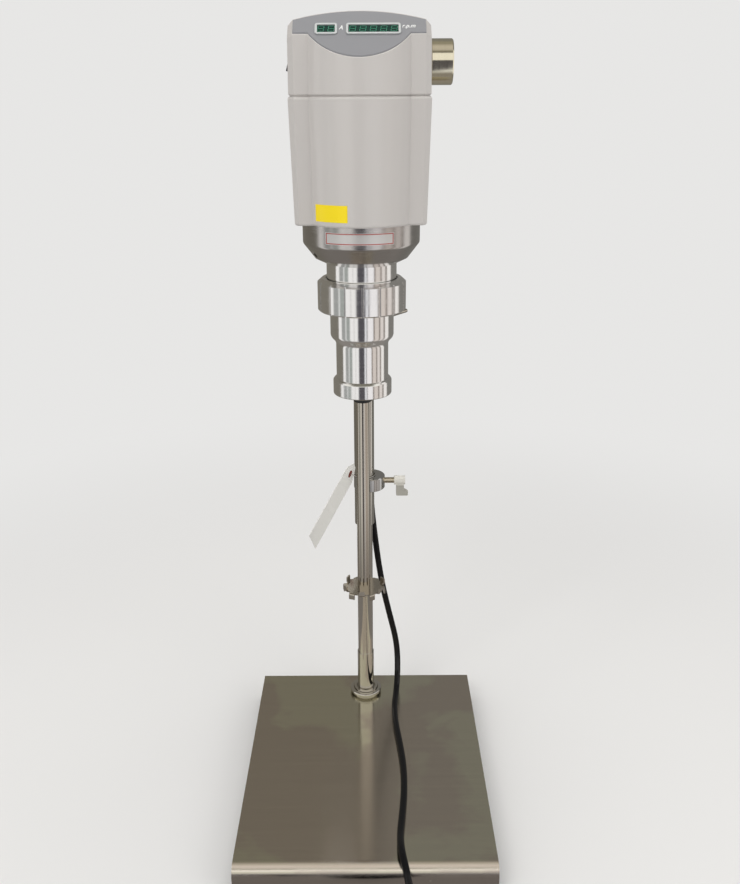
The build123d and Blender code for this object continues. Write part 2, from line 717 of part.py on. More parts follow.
def upper_shape(wall):
    """Solid of the upper cover, `wall` inside its outer face."""
    with BuildPart() as shape:
        rim = 0 if wall else UPPER_RIM
        if rim:
            add(head_outline(UPPER_INSET + rim))
            extrude(amount=rim, taper=-45)
        add(head_outline(UPPER_INSET + wall).moved(Location((0, 0, rim))))
        extrude(amount=HEAD_TOP - PARTING + 8, taper=UPPER_DRAFT)
        add(crown_profile(wall, HEAD_HALF_WIDTH - UPPER_INSET - wall))
        extrude(amount=HEAD_BACK - BULGE_FRONT + 40, dir=(0, -1, 0), mode=Mode.INTERSECT)
        add(slope_side(wall))
        extrude(amount=2 * HEAD_HALF_WIDTH + 10, dir=(1, 0, 0), mode=Mode.INTERSECT)
        add(slope_corners(wall))
        extrude(amount=2 * SLOPE_REACH, dir=-SLOPE_PLANE.y_dir, mode=Mode.INTERSECT)
    return shape.part


with BuildPart() as lower_cover:
    add(head_outline(0))
    extrude(amount=HEAD_BOTTOM - PARTING, taper=LOWER_DRAFT)
    fillet(lower_cover.faces().sort_by(Axis.Z)[-1].edges(), radius=RIM_ROUND)
    fillet(lower_cover.faces().sort_by(Axis.Z)[0].edges(), radius=RIM_ROUND)
    add(head_outline(HEAD_WALL))
    extrude(amount=HEAD_FLOOR - PARTING, taper=LOWER_DRAFT, mode=Mode.SUBTRACT)
    with BuildSketch(Plane.XY.offset(HEAD_BOTTOM)):
        with Locations(SHAFT_AXIS):
            Circle(FLANGE_SPIGOT)
        with Locations(COLUMN_AXIS):
            Circle(OUTER_TUBE_RADIUS + CLEARANCE)
        with Locations((CORD_EXIT_X, CORD_EXIT_Y)):
            Circle(RELIEF_NECK)
        with Locations(*COVER_SCREW_PLACES):
            Circle(COVER_SCREW_RADIUS)
    extrude(amount=HEAD_WALL, mode=Mode.SUBTRACT)
    with BuildSketch(Plane.XZ.offset(-HEAD_BACK - 5)):
        with Locations((0, PARTING - VENT_DROP)):
            with GridLocations(0, VENT_PITCH, 1, VENT_COUNT):
                SlotOverall(VENT_LENGTH, VENT_HEIGHT)
    extrude(amount=HEAD_WALL + 10, mode=Mode.SUBTRACT)
save(lower_cover.part, "lower_cover")

with BuildPart() as upper_cover:
    add(upper_shape(0))
    add(upper_shape(HEAD_WALL), mode=Mode.SUBTRACT)
    with BuildSketch(SLOPE_PLANE):
        for centre, width in WINDOWS:
            with Locations((centre, WINDOW_MIDDLE)):
                Rectangle(width - 2 * WINDOW_RIM + 1, WINDOW_HEIGHT - 2 * WINDOW_RIM + 1)
    extrude(amount=HEAD_WALL + 1, both=True, mode=Mode.SUBTRACT)
    with BuildSketch(Plane.YZ.offset(HEAD_HALF_WIDTH - 2 * HEAD_WALL)):
        with Locations((SHAFT_Y, KNOB_Z)):
            Circle(BUSH_RADIUS)
    extrude(amount=3 * HEAD_WALL, mode=Mode.SUBTRACT)
    with BuildSketch(Plane.YZ.offset(-HEAD_HALF_WIDTH - HEAD_WALL)):
        with Locations((ROCKER_Y, ROCKER_Z)):
            Rectangle(SWITCH_BODY_WIDTH, SWITCH_BODY_LENGTH)
    extrude(amount=3 * HEAD_WALL, mode=Mode.SUBTRACT)
save(upper_cover.part, "upper_cover")

with BuildPart() as display_panel:
    add(head_outline(UPPER_INSET + PANEL_MARGIN))
    extrude(amount=HEAD_TOP - PARTING)
    with BuildSketch(Plane.XY.offset(PARTING)):
        Rectangle(2 * PANEL_HALF_WIDTH, 2 * HEAD_BACK)
    extrude(amount=HEAD_TOP - PARTING, mode=Mode.INTERSECT)
    add(crown_profile(PANEL_MARGIN / 2, HEAD_HALF_WIDTH))
    extrude(amount=HEAD_BACK - BULGE_FRONT + 40, dir=(0, -1, 0), mode=Mode.INTERSECT)
    add(slope_side(-PANEL_THICKNESS))
    extrude(amount=2 * HEAD_HALF_WIDTH + 10, dir=(1, 0, 0), mode=Mode.INTERSECT)
    add(slope_side(0))
    extrude(amount=2 * HEAD_HALF_WIDTH + 10, dir=(1, 0, 0), mode=Mode.SUBTRACT)
    with BuildSketch(SLOPE_PLANE):
        for centre, width in WINDOWS:
            with Locations((centre, WINDOW_MIDDLE)):
                RectangleRounded(width, WINDOW_HEIGHT, WINDOW_ROUND)
    extrude(amount=PANEL_THICKNESS + WINDOW_RIM_RISE)
    with BuildSketch(SLOPE_PLANE):
        for centre, width in WINDOWS:
            with Locations((centre, WINDOW_MIDDLE)):
                Rectangle(width - 2 * WINDOW_RIM, WINDOW_HEIGHT - 2 * WINDOW_RIM)
    extrude(amount=PANEL_THICKNESS + WINDOW_RIM_RISE, mode=Mode.SUBTRACT)
save(display_panel.part, "display_panel")

for (centre, width), name in zip(WINDOWS, ("current_display", "speed_display")):
    with BuildPart() as display:
        with BuildSketch(SLOPE_PLANE.offset(-BOARD_DROP)):
            with Locations((centre, WINDOW_MIDDLE)):
                Rectangle(
                    width - 2 * WINDOW_RIM - 2 * CLEARANCE, WINDOW_HEIGHT - 2 * WINDOW_RIM - 2 * CLEARANCE
                )
        extrude(amount=BOARD_DROP + PANEL_THICKNESS)
    save(display.part, name)

with BuildPart() as control_board:
    with BuildSketch(SLOPE_PLANE.offset(-BOARD_DROP)):
        with Locations((0, (BOARD_LOW + BOARD_HIGH) / 2)):
            Rectangle(2 * BOARD_HALF_WIDTH, BOARD_HIGH - BOARD_LOW)
    extrude(amount=-BOARD_THICKNESS)
    with BuildSketch(SLOPE_PLANE.offset(-BOARD_DROP)):
        with Locations((0, (PILLAR_LOW + PILLAR_HIGH) / 2)):
            with GridLocations(2 * PILLAR_X, PILLAR_HIGH - PILLAR_LOW, 2, 2):
                Circle(PILLAR_RADIUS)
    extrude(amount=BOARD_DROP - HEAD_WALL)
save(control_board.part, "control_board")

# ---------------------------------------------------------------- knob and switch on the sides

SIDE_AT_KNOB = HEAD_HALF_WIDTH - UPPER_INSET - (KNOB_Z - PARTING) * tan(radians(UPPER_DRAFT))
POT_SEAT = SIDE_AT_KNOB - HEAD_WALL - CLEARANCE
with BuildPart() as potentiometer:
    with BuildSketch(Plane.YZ.offset(POT_SEAT)):
        with Locations((SHAFT_Y, KNOB_Z)):
            Circle(POT_BODY_RADIUS)
    extrude(amount=-POT_BODY_LENGTH)
    with BuildSketch(Plane.YZ.offset(POT_SEAT)):
        with Locations((SHAFT_Y, KNOB_Z)):
            Circle(BUSH_RADIUS)
    extrude(amount=HEAD_WALL)
    with BuildSketch(Plane.YZ.offset(POT_SEAT - POT_BODY_LENGTH / 2)):
        with Locations((SHAFT_Y, KNOB_Z)):
            Circle(KNOB_SPINDLE + RUNNING_FIT)
    extrude(amount=HEAD_WALL + POT_BODY_LENGTH, mode=Mode.SUBTRACT)
save(potentiometer.part, "potentiometer")

with BuildPart() as speed_knob:
    with BuildSketch(Plane.YZ.offset(SIDE_AT_KNOB + KNOB_GAP)):
        with Locations((SHAFT_Y, KNOB_Z)):
            Circle(KNOB_RADIUS)
    extrude(amount=KNOB_END - SIDE_AT_KNOB - KNOB_GAP)
    chamfer(speed_knob.edges().filter_by(GeomType.CIRCLE), length=KNOB_CHAMFER)
    with BuildSketch(Plane.YZ.offset(SIDE_AT_KNOB + KNOB_GAP)):
        with Locations((SHAFT_Y, KNOB_Z)):
            Circle(KNOB_SPINDLE)
    extrude(amount=-HEAD_WALL - KNOB_GAP - POT_BODY_LENGTH / 2 + CLEARANCE)
save(speed_knob.part, "speed_knob")

with BuildPart() as switch_body:
    with BuildSketch(Plane.YZ.offset(-SIDE_AT_KNOB - CLEARANCE)):
        with Locations((ROCKER_Y, ROCKER_Z)):
            RectangleRounded(SWITCH_BODY_WIDTH + 2 * BEZEL, SWITCH_BODY_LENGTH + 2 * BEZEL, 1.0)
    extrude(amount=-BEZEL)
    with BuildSketch(Plane.YZ.offset(-SIDE_AT_KNOB)):
        with Locations((ROCKER_Y, ROCKER_Z)):
            Rectangle(SWITCH_BODY_WIDTH - SWITCH_FIT, SWITCH_BODY_LENGTH - SWITCH_FIT)
    extrude(amount=SWITCH_DEPTH)
    with BuildSketch(Plane.YZ.offset(-SIDE_AT_KNOB + SWITCH_DEPTH - SWITCH_FLOOR)):
        with Locations((ROCKER_Y, ROCKER_Z)):
            Rectangle(ROCKER_WIDTH + 2 * CLEARANCE, ROCKER_LENGTH + 4 * CLEARANCE)
    extrude(amount=-SWITCH_DEPTH - 2 * BEZEL, mode=Mode.SUBTRACT)
    with BuildSketch(Plane.XZ.offset(-ROCKER_Y)):
        with Locations((-SIDE_AT_KNOB + ROCKER_PIVOT_DEPTH, ROCKER_Z)):
            Circle(ROCKER_PIVOT_RADIUS)
    extrude(amount=SWITCH_BODY_WIDTH / 2 - CLEARANCE, both=True)
save(switch_body.part, "switch_body")

with BuildPart() as power_rocker:
    pivot_x = -SIDE_AT_KNOB + ROCKER_PIVOT_DEPTH
    face_x = -SIDE_AT_KNOB - BEZEL - 0.6
    with BuildSketch(Plane.XZ.offset(-ROCKER_Y)):
        with BuildLine():
            Polyline(
                (pivot_x + 3.2, ROCKER_Z - 3.2),
                (pivot_x + 3.2, ROCKER_Z + 3.2),
                (pivot_x - 2.2, ROCKER_Z + ROCKER_LENGTH / 2 - 0.4),
                (face_x - 1.0, ROCKER_Z + ROCKER_LENGTH / 2 - 0.4),
                (face_x, ROCKER_Z),
                (face_x - 1.0, ROCKER_Z - ROCKER_LENGTH / 2 + 0.4),
                (pivot_x - 2.2, ROCKER_Z - ROCKER_LENGTH / 2 + 0.4),
                close=True,
            )
        make_face()
    extrude(amount=ROCKER_WIDTH / 2, both=True)
    with BuildSketch(Plane.XZ.offset(-ROCKER_Y)):
        with Locations((pivot_x, ROCKER_Z)):
            Circle(ROCKER_PIVOT_RADIUS + RUNNING_FIT)
    extrude(amount=ROCKER_WIDTH, both=True, mode=Mode.SUBTRACT)
tilted = power_rocker.part.rotate(Axis((pivot_x, ROCKER_Y, ROCKER_Z), (0, 1, 0)), ROCKER_TILT)
save(tilted, "power_rocker")

# ---------------------------------------------------------------- inside the head

PLATE_HALF_WIDTH = HEAD_HALF_WIDTH - PLATE_SIDE_GAP
PLATE_FRONT = SHAFT_Y - PLATE_FORWARD
PLATE_BACK = HEAD_BACK - PLATE_BACK_GAP
with BuildPart() as chassis_plate:
    with BuildSketch(Plane.XY.offset(HEAD_FLOOR)):
        with Locations((0, (PLATE_FRONT + PLATE_BACK) / 2)):
            RectangleRounded(2 * PLATE_HALF_WIDTH, PLATE_BACK - PLATE_FRONT, PLATE_ROUND)
        with Locations(SHAFT_AXIS):
            Circle(NECK_BORE, mode=Mode.SUBTRACT)
        with Locations(COLUMN_AXIS):
            Circle(OUTER_TUBE_RADIUS + CLEARANCE, mode=Mode.SUBTRACT)
        with Locations((CORD_EXIT_X, CORD_EXIT_Y)):
            Circle(RELIEF_NECK, mode=Mode.SUBTRACT)
        with Locations(*COVER_SCREW_PLACES):
            Circle(COVER_SCREW_RADIUS, mode=Mode.SUBTRACT)
    extrude(amount=CHASSIS_THICKNESS)
    with Locations(upright(CHASSIS_TOP, SHAFT_AXIS)):
        with PolarLocations(FLANGE_SCREW_CIRCLE, 4, start_angle=45):
            CounterBoreHole(FLANGE_SCREW_RADIUS, FLANGE_HEAD_RADIUS, FLANGE_HEAD_HEIGHT)
save(chassis_plate.part, "chassis_plate")

with BuildPart() as column_bracket:
    with BuildSketch(Plane.XY.offset(CHASSIS_TOP)):
        with Locations((0, COLUMN_Y - BRACKET_FORWARD)):
            Rectangle(BRACKET_WIDTH, BRACKET_DEPTH)
        with Locations(COLUMN_AXIS):
            Circle(OUTER_TUBE_RADIUS, mode=Mode.SUBTRACT)
    extrude(amount=BRACKET_HEIGHT)
    chamfer(column_bracket.edges().filter_by(Axis.Z).group_by(Axis.Y)[0], length=BRACKET_CHAMFER)
save(column_bracket.part, "column_bracket")

with BuildPart() as motor_case:
    add(
        turned(
            [
                (MOTOR_SHAFT_RADIUS + RUNNING_FIT, CHASSIS_TOP),
                (MOTOR_RADIUS, CHASSIS_TOP),
                (MOTOR_RADIUS, MOTOR_TOP),
                (MOTOR_RADIUS - MOTOR_WALL, MOTOR_TOP),
                (MOTOR_RADIUS - MOTOR_WALL, CHASSIS_TOP + MOTOR_WALL),
                (MOTOR_SHAFT_RADIUS + RUNNING_FIT, CHASSIS_TOP + MOTOR_WALL),
            ]
        )
    )
    add(tube(MOTOR_RADIUS, MOTOR_SHAFT_RADIUS + RUNNING_FIT, MOTOR_TOP, MOTOR_TOP + MOTOR_LID))
    with Locations(upright(MOTOR_TOP, SHAFT_AXIS)):
        with PolarLocations(MOTOR_RADIUS * 0.62, 8):
            Cylinder(MOTOR_VENT_RADIUS, 4 * MOTOR_LID, mode=Mode.SUBTRACT)
save(motor_case.part, "motor_case")

STATOR_INNER = ROTOR_RADIUS + AIR_GAP
save(
    tube(
        MOTOR_RADIUS - MOTOR_WALL,
        STATOR_INNER,
        CHASSIS_TOP + STATOR_LOW_GAP,
        MOTOR_TOP - STATOR_HIGH_GAP,
    ),
    "motor_stator",
)

with BuildPart() as motor_rotor:
    with BuildSketch(upright(MOTOR_SHAFT_BOTTOM, SHAFT_AXIS)):
        Circle(MOTOR_SHAFT_RADIUS)
    extrude(amount=MOTOR_TOP + MOTOR_SHAFT_END - MOTOR_SHAFT_BOTTOM)
    with BuildSketch(upright(CHASSIS_TOP + ROTOR_LOW_GAP, SHAFT_AXIS)):
        Circle(ROTOR_RADIUS)
    extrude(amount=MOTOR_HEIGHT - ROTOR_LOW_GAP - ROTOR_HIGH_GAP)
save(motor_rotor.part, "motor_rotor")

FAN_BOTTOM = MOTOR_TOP + FAN_LIFT
with BuildPart() as cooling_fan:
    with BuildSketch(upright(FAN_BOTTOM, SHAFT_AXIS)):
        Circle(FAN_RADIUS)
        Circle(MOTOR_SHAFT_RADIUS, mode=Mode.SUBTRACT)
    extrude(amount=FAN_SHEET)
    with BuildSketch(upright(FAN_BOTTOM, SHAFT_AXIS)):
        Circle(MOTOR_SHAFT_RADIUS + 3)
        Circle(MOTOR_SHAFT_RADIUS, mode=Mode.SUBTRACT)
        with PolarLocations((FAN_RADIUS + MOTOR_SHAFT_RADIUS) / 2 + 1, FAN_BLADES):
            Rectangle(FAN_RADIUS - MOTOR_SHAFT_RADIUS - 2, FAN_SHEET)
    extrude(amount=FAN_HEIGHT)
save(cooling_fan.part, "cooling_fan")

SUPPLY_Y = COLUMN_Y - SUPPLY_FORWARD
with BuildPart() as power_supply:
    with BuildSketch(Plane.XY.offset(CHASSIS_TOP)):
        with Locations((SUPPLY_X, SUPPLY_Y)):
            Rectangle(SUPPLY_WIDTH, SUPPLY_DEPTH)
    extrude(amount=SUPPLY_HEIGHT)
    with BuildSketch(Plane.XY.offset(CHASSIS_TOP + SUPPLY_HEIGHT)):
        with Locations((SUPPLY_X, SUPPLY_Y)):
            Rectangle(CHOKE_WIDTH, CHOKE_DEPTH)
    extrude(amount=CHOKE_HEIGHT)
    with BuildSketch(Plane.XY.offset(CHASSIS_TOP)):
        with Locations((SINK_X, SUPPLY_Y - SINK_SHIFT)):
            Rectangle(SINK_THICKNESS, SINK_LENGTH)
    extrude(amount=SINK_HEIGHT)
    with BuildSketch(Plane.XY.offset(CHASSIS_TOP)):
        with Locations((SINK_X + SINK_THICKNESS / 2 + FIN_REACH / 2, SUPPLY_Y - SINK_SHIFT)):
            with GridLocations(0, FIN_PITCH, 1, FIN_COUNT):
                Rectangle(FIN_REACH, FIN_THICKNESS)
    extrude(amount=FIN_HEIGHT)
save(power_supply.part, "power_supply")

# ---------------------------------------------------------------- drive line below the head

with BuildPart() as drive_flange:
    add(
        turned(
            [
                (NECK_BORE, HOUSING_TOP),
                (NECK_RADIUS, HOUSING_TOP),
                (NECK_RADIUS, NECK_TOP),
                (CONE_SMALL_RADIUS, FLANGE_CONE_BOTTOM),
                (FLANGE_RADIUS, FLANGE_CONE_TOP),
                (FLANGE_RADIUS, HEAD_BOTTOM),
                (FLANGE_SPIGOT, HEAD_BOTTOM),
                (FLANGE_SPIGOT, HEAD_FLOOR),
                (NECK_BORE, HEAD_FLOOR),
            ]
        )
    )
    shoulder = [
        e for e in drive_flange.edges().filter_by(GeomType.CIRCLE)
        if abs(e.radius - FLANGE_RADIUS) < 0.01 and e.center().Z < FLANGE_CONE_TOP + 1
    ]
    fillet(shoulder, radius=FLANGE_ROUND)
    with Locations(upright(HEAD_FLOOR, SHAFT_AXIS)):
        with PolarLocations(FLANGE_SCREW_CIRCLE, 4, start_angle=45):
            Hole(FLANGE_SCREW_RADIUS, depth=FLANGE_SCREW_GRIP)
    hollow_neck = Plane(
        origin=(0, SHAFT_Y, SET_SCREW_Z),
        x_dir=(0, 0, 1),
        z_dir=(cos(radians(SET_SCREW_ANGLE)), sin(radians(SET_SCREW_ANGLE)), 0),
    )
    with BuildSketch(hollow_neck.offset(NECK_RADIUS)):
        Circle(SET_SCREW_RADIUS)
    extrude(amount=FLANGE_RADIUS, mode=Mode.SUBTRACT)
save(drive_flange.part, "drive_flange")

with BuildPart() as flange_set_screw:
    with BuildSketch(hollow_neck.offset(NECK_RADIUS)):
        Circle(SET_SCREW_RADIUS)
    extrude(amount=CONE_SMALL_RADIUS - NECK_RADIUS)
    with BuildSketch(hollow_neck.offset(CONE_SMALL_RADIUS - 2)):
        RegularPolygon(SET_SCREW_RADIUS / 2, 6)
    extrude(amount=3, mode=Mode.SUBTRACT)
save(flange_set_screw.part, "flange_set_screw")

with BuildPart() as flange_screws:
    with Locations(upright(CHASSIS_TOP, SHAFT_AXIS)):
        with PolarLocations(FLANGE_SCREW_CIRCLE, 4, start_angle=45):
            Cylinder(
                FLANGE_SCREW_RADIUS,
                CHASSIS_THICKNESS + FLANGE_SCREW_GRIP,
                align=(Align.CENTER, Align.CENTER, Align.MAX),
            )
            Cylinder(
                FLANGE_HEAD_RADIUS,
                FLANGE_HEAD_HEIGHT,
                align=(Align.CENTER, Align.CENTER, Align.MAX),
            )
save(flange_screws.part, "flange_screws")

HOUSING_FLANGE_BOTTOM = NUT_BOTTOM + NUT_LIP
with BuildPart() as bearing_housing:
    with BuildSketch(Plane(origin=(0, SHAFT_Y, 0), x_dir=(1, 0, 0), z_dir=(0, -1, 0))):
        with BuildLine():
            Line((BEARING_RADIUS, CAP_TOP), (HOUSING_LOW_RADIUS, CAP_TOP))
            Line((HOUSING_LOW_RADIUS, CAP_TOP), (HOUSING_LOW_RADIUS, HOUSING_WAIST))
            shoulder_middle = (HOUSING_WAIST + HOUSING_SHOULDER) / 2
            half_step = (HOUSING_RADIUS - HOUSING_LOW_RADIUS) / 2
            Spline(
                (HOUSING_LOW_RADIUS, HOUSING_WAIST),
                (HOUSING_LOW_RADIUS + half_step, shoulder_middle),
                (HOUSING_RADIUS, HOUSING_SHOULDER),
                tangents=[(0, 1), (0, 1)],
            )
            Polyline(
                (HOUSING_RADIUS, HOUSING_SHOULDER),
                (HOUSING_RADIUS, HOUSING_FLANGE_BOTTOM),
                (NECK_RADIUS - CLEARANCE, HOUSING_FLANGE_BOTTOM),
                (NECK_RADIUS - CLEARANCE, HOUSING_TOP),
                (NECK_BORE, HOUSING_TOP),
                (NECK_BORE, HIGH_BEARING_Z + BEARING_WIDTH + 4),
                (BEARING_RADIUS, HIGH_BEARING_Z + BEARING_WIDTH + 4),
                (BEARING_RADIUS, HIGH_BEARING_Z),
                (BEARING_RADIUS - BEARING_LIP, HIGH_BEARING_Z),
                (BEARING_RADIUS - BEARING_LIP, LOW_BEARING_Z + BEARING_WIDTH),
                (BEARING_RADIUS, LOW_BEARING_Z + BEARING_WIDTH),
                (BEARING_RADIUS, CAP_TOP),
            )
        make_face()
    revolve(axis=Axis((0, SHAFT_Y, 0), (0, 0, 1)))
    with BuildSketch(tommy_plane(HOUSING_RADIUS - TOMMY_SEAT)):
        Circle(TOMMY_RADIUS)
    extrude(amount=2 * TOMMY_SEAT, mode=Mode.SUBTRACT)
save(bearing_housing.part, "bearing_housing")

with BuildPart() as tommy_bar:
    with BuildSketch(tommy_plane(HOUSING_RADIUS - TOMMY_SEAT)):
        Circle(TOMMY_RADIUS)
    extrude(amount=TOMMY_REACH - HOUSING_RADIUS + TOMMY_SEAT)
    fillet(tommy_bar.edges().filter_by(GeomType.CIRCLE).sort_by(Axis.Y)[-1], radius=1.2)
save(tommy_bar.part, "tommy_bar")

with BuildPart() as seal_carrier:
    add(
        turned(
            [
                (SEAL_RADIUS, CAP_BOTTOM),
                (CAP_RADIUS, CAP_BOTTOM),
                (CAP_RADIUS, CAP_TOP - CAP_STEP),
                (CAP_RADIUS - 0.9, CAP_TOP - 1.6),
                (HOUSING_LOW_RADIUS, CAP_TOP - 1.0),
                (HOUSING_LOW_RADIUS, CAP_TOP),
                (BEARING_RADIUS, CAP_TOP),
                (BEARING_RADIUS, LOW_BEARING_Z),
                (BEARING_RADIUS - 3, LOW_BEARING_Z),
                (BEARING_RADIUS - 3, CAP_TOP - CAP_STEP),
                (SEAL_RADIUS, CAP_TOP - CAP_STEP),
            ]
        )
    )
    low_rim = [
        e for e in seal_carrier.edges().filter_by(GeomType.CIRCLE)
        if abs(e.radius - CAP_RADIUS) < 0.01
    ]
    fillet(low_rim, radius=1.0)
save(seal_carrier.part, "seal_carrier")

with BuildPart() as shaft_seal:
    seal_top = CAP_TOP - CAP_STEP
    add(tube(SEAL_RADIUS, SHAFT_RADIUS + RUNNING_FIT, SEAL_BOTTOM, seal_top))
    fillet(
        [
            e for e in shaft_seal.edges().filter_by(GeomType.CIRCLE)
            if abs(e.radius - SEAL_RADIUS) < 0.01 and e.center().Z < CAP_BOTTOM
        ],
        radius=1.5,
    )
save(shaft_seal.part, "shaft_seal")

BEARING_MIDDLE = (BEARING_RADIUS + SHAFT_RADIUS) / 2
for low, name in ((LOW_BEARING_Z, "lower_bearing"), (HIGH_BEARING_Z, "upper_bearing")):
    high = low + BEARING_WIDTH
    save(tube(BEARING_RADIUS, BEARING_MIDDLE + RUNNING_FIT, low, high), f"{name}_outer")
    save(tube(BEARING_MIDDLE, SHAFT_RADIUS, low, high), f"{name}_inner")

with BuildPart() as coupling_nut:
    bore = NECK_RADIUS + NUT_FIT
    add(
        turned(
            [
                (HOUSING_RADIUS + CLEARANCE, NUT_BOTTOM),
                (NUT_RADIUS - NUT_EDGE, NUT_BOTTOM),
                (NUT_RADIUS, NUT_BOTTOM + NUT_EDGE),
                (NUT_RADIUS, NUT_CHAMFER_BOTTOM),
                (NUT_LAND_RADIUS, NUT_TOP),
                (NUT_THROAT, NUT_TOP),
                (NUT_THROAT, NUT_TOP - NUT_THROAT_DEPTH),
                (bore, NUT_TOP - NUT_THROAT_DEPTH - 1),
                (bore, NUT_BOTTOM + NUT_LIP),
                (HOUSING_RADIUS + CLEARANCE, NUT_BOTTOM + NUT_LIP),
            ]
        )
    )
    with BuildSketch(upright(NUT_BOTTOM, SHAFT_AXIS)):
        with PolarLocations(NUT_RADIUS, NUT_GROOVES, start_angle=FIRST_GROOVE):
            RectangleRounded(2 * NUT_GROOVE_DEPTH, NUT_GROOVE_WIDTH, NUT_GROOVE_ROUND)
    extrude(amount=NUT_TOP - NUT_BOTTOM, mode=Mode.SUBTRACT)
save(coupling_nut.part, "coupling_nut")

# ---------------------------------------------------------------- shaft, coupling and toothed disc

with BuildPart() as agitator_shaft:
    with BuildSketch(upright(DISC_Z + DISC_THICKNESS / 2, SHAFT_AXIS)):
        Circle(SHAFT_RADIUS)
    extrude(amount=SHAFT_TOP - DISC_Z - DISC_THICKNESS / 2)
    chamfer(agitator_shaft.edges().group_by(Axis.Z)[-1], length=0.8)
    with BuildSketch(upright(DISC_Z + DISC_THICKNESS / 2, SHAFT_AXIS)):
        Circle(STUD_RADIUS)
    extrude(amount=-DISC_THICKNESS - DISC_NUT_HEIGHT - STUD_END)
save(agitator_shaft.part, "agitator_shaft")


def bent_tooth(side):
    """One rim tooth, bent up (side 1) or down (side -1), in the plane of its radius."""
    half = DISC_THICKNESS / 2
    root = TOOTH_RADIUS - TOOTH_ROOT
    inner = TOOTH_RADIUS - DISC_THICKNESS
    with BuildPart() as tooth:
        with BuildSketch(Plane.XZ) as section:
            with BuildLine():
                Polyline(
                    (root, -half * side),
                    (TOOTH_RADIUS, -half * side),
                    (TOOTH_RADIUS, TOOTH_RISE * side),
                    (inner, TOOTH_RISE * side),
                    (inner, half * side),
                    (root, half * side),
                    close=True,
                )
            make_face()
            bend = [v for v in section.vertices() if abs(v.Y + half * side) < 0.01 and v.X > inner + 0.1]
            fillet(bend, radius=DISC_THICKNESS)
        extrude(amount=TOOTH_WIDTH / 2, both=True)
    return tooth.part.rotate(Axis((TOOTH_RADIUS - 1, 0, 0), (0, 0, 1)), TOOTH_ATTACK)


with BuildPart() as toothed_disc:
    with BuildSketch(Plane.XY.offset(-DISC_THICKNESS / 2)):
        Circle(TOOTH_RADIUS - 2.4)
        Circle(STUD_RADIUS, mode=Mode.SUBTRACT)
    extrude(amount=DISC_THICKNESS)
    for number in range(DISC_TEETH):
        turn = FIRST_TOOTH + number * 360 / DISC_TEETH
        add(bent_tooth(1 if number % 2 == 0 else -1).rotate(Axis.Z, turn))
disc_in_place = toothed_disc.part.moved(Location((0, SHAFT_Y, DISC_Z)))
save(disc_in_place, "toothed_disc")

with BuildPart() as disc_nut:
    with BuildSketch(upright(DISC_Z - DISC_THICKNESS / 2, SHAFT_AXIS)):
        RegularPolygon(STUD_RADIUS * 1.9, 6)
        Circle(STUD_RADIUS, mode=Mode.SUBTRACT)
    extrude(amount=-DISC_NUT_HEIGHT)
save(disc_nut.part, "disc_nut")

for low, bore, name, free_end in (
    (SHAFT_TOP - COUPLING_HEIGHT, SHAFT_RADIUS, "coupling_lower", 0),
    (MOTOR_SHAFT_BOTTOM, MOTOR_SHAFT_RADIUS, "coupling_upper", -1),
):
    with BuildPart() as hub:
        add(tube(COUPLING_RADIUS, bore, low, low + COUPLING_HEIGHT))
        chamfer(hub.faces().sort_by(Axis.Z)[free_end].outer_wire().edges(), length=1.5)
    save(hub.part, name)
save(tube(COUPLING_RADIUS, COUPLING_RADIUS * 0.4, SHAFT_TOP, MOTOR_SHAFT_BOTTOM), "coupling_spider")

# ---------------------------------------------------------------- labels and tag

with BuildPart() as asset_label:
    add(head_outline(-LABEL_THICKNESS))
    extrude(amount=HEAD_BOTTOM - PARTING, taper=LOWER_DRAFT)
    add(head_outline(0))
    extrude(amount=HEAD_BOTTOM - PARTING, taper=LOWER_DRAFT, mode=Mode.SUBTRACT)
    with BuildSketch(Plane.XZ.offset(-FACET_Y)):
        with Locations((ASSET_LABEL_X, ASSET_LABEL_Z)):
            Rectangle(ASSET_LABEL_WIDTH, ASSET_LABEL_HEIGHT)
    extrude(amount=HEAD_BACK, mode=Mode.INTERSECT)
save(asset_label.part, "asset_label")

with BuildPart() as flange_label:
    with BuildSketch(upright(FLANGE_LABEL_LOW, SHAFT_AXIS)):
        Circle(FLANGE_RADIUS + LABEL_THICKNESS)
        Circle(FLANGE_RADIUS, mode=Mode.SUBTRACT)
    extrude(amount=FLANGE_LABEL_HEIGHT)
    with BuildSketch(Plane.XZ.offset(-SHAFT_Y)):
        with Locations((FLANGE_LABEL_X, FLANGE_LABEL_LOW)):
            Rectangle(FLANGE_LABEL_WIDTH, 3 * FLANGE_LABEL_HEIGHT)
    extrude(amount=FLANGE_RADIUS * 2, mode=Mode.INTERSECT)
save(flange_label.part, "flange_label")

EYELET_BORE = WIRE_RADIUS + CLEARANCE + 0.1
EYELET_NECK = EYELET_BORE + 0.4
tag_plane = Plane(origin=TAG_HOLE, x_dir=TAG_DOWN, z_dir=TAG_FACE)
with BuildPart() as paper_tag:
    with BuildSketch(tag_plane):
        with Locations((TAG_LENGTH / 2 - TAG_EYE, 0)):
            Rectangle(TAG_LENGTH, TAG_WIDTH)
    extrude(amount=TAG_THICKNESS / 2, both=True)
    ends = sorted(
        paper_tag.edges().filter_by(lambda e: abs(e.length - TAG_THICKNESS) < 0.01),
        key=lambda e: (e.center() - tag_plane.origin).dot(tag_plane.x_dir),
    )
    chamfer(ends[:2], length=TAG_CLIP)
    with BuildSketch(tag_plane):
        Circle(EYELET_NECK)
    extrude(amount=TAG_THICKNESS, both=True, mode=Mode.SUBTRACT)
save(paper_tag.part, "paper_tag")

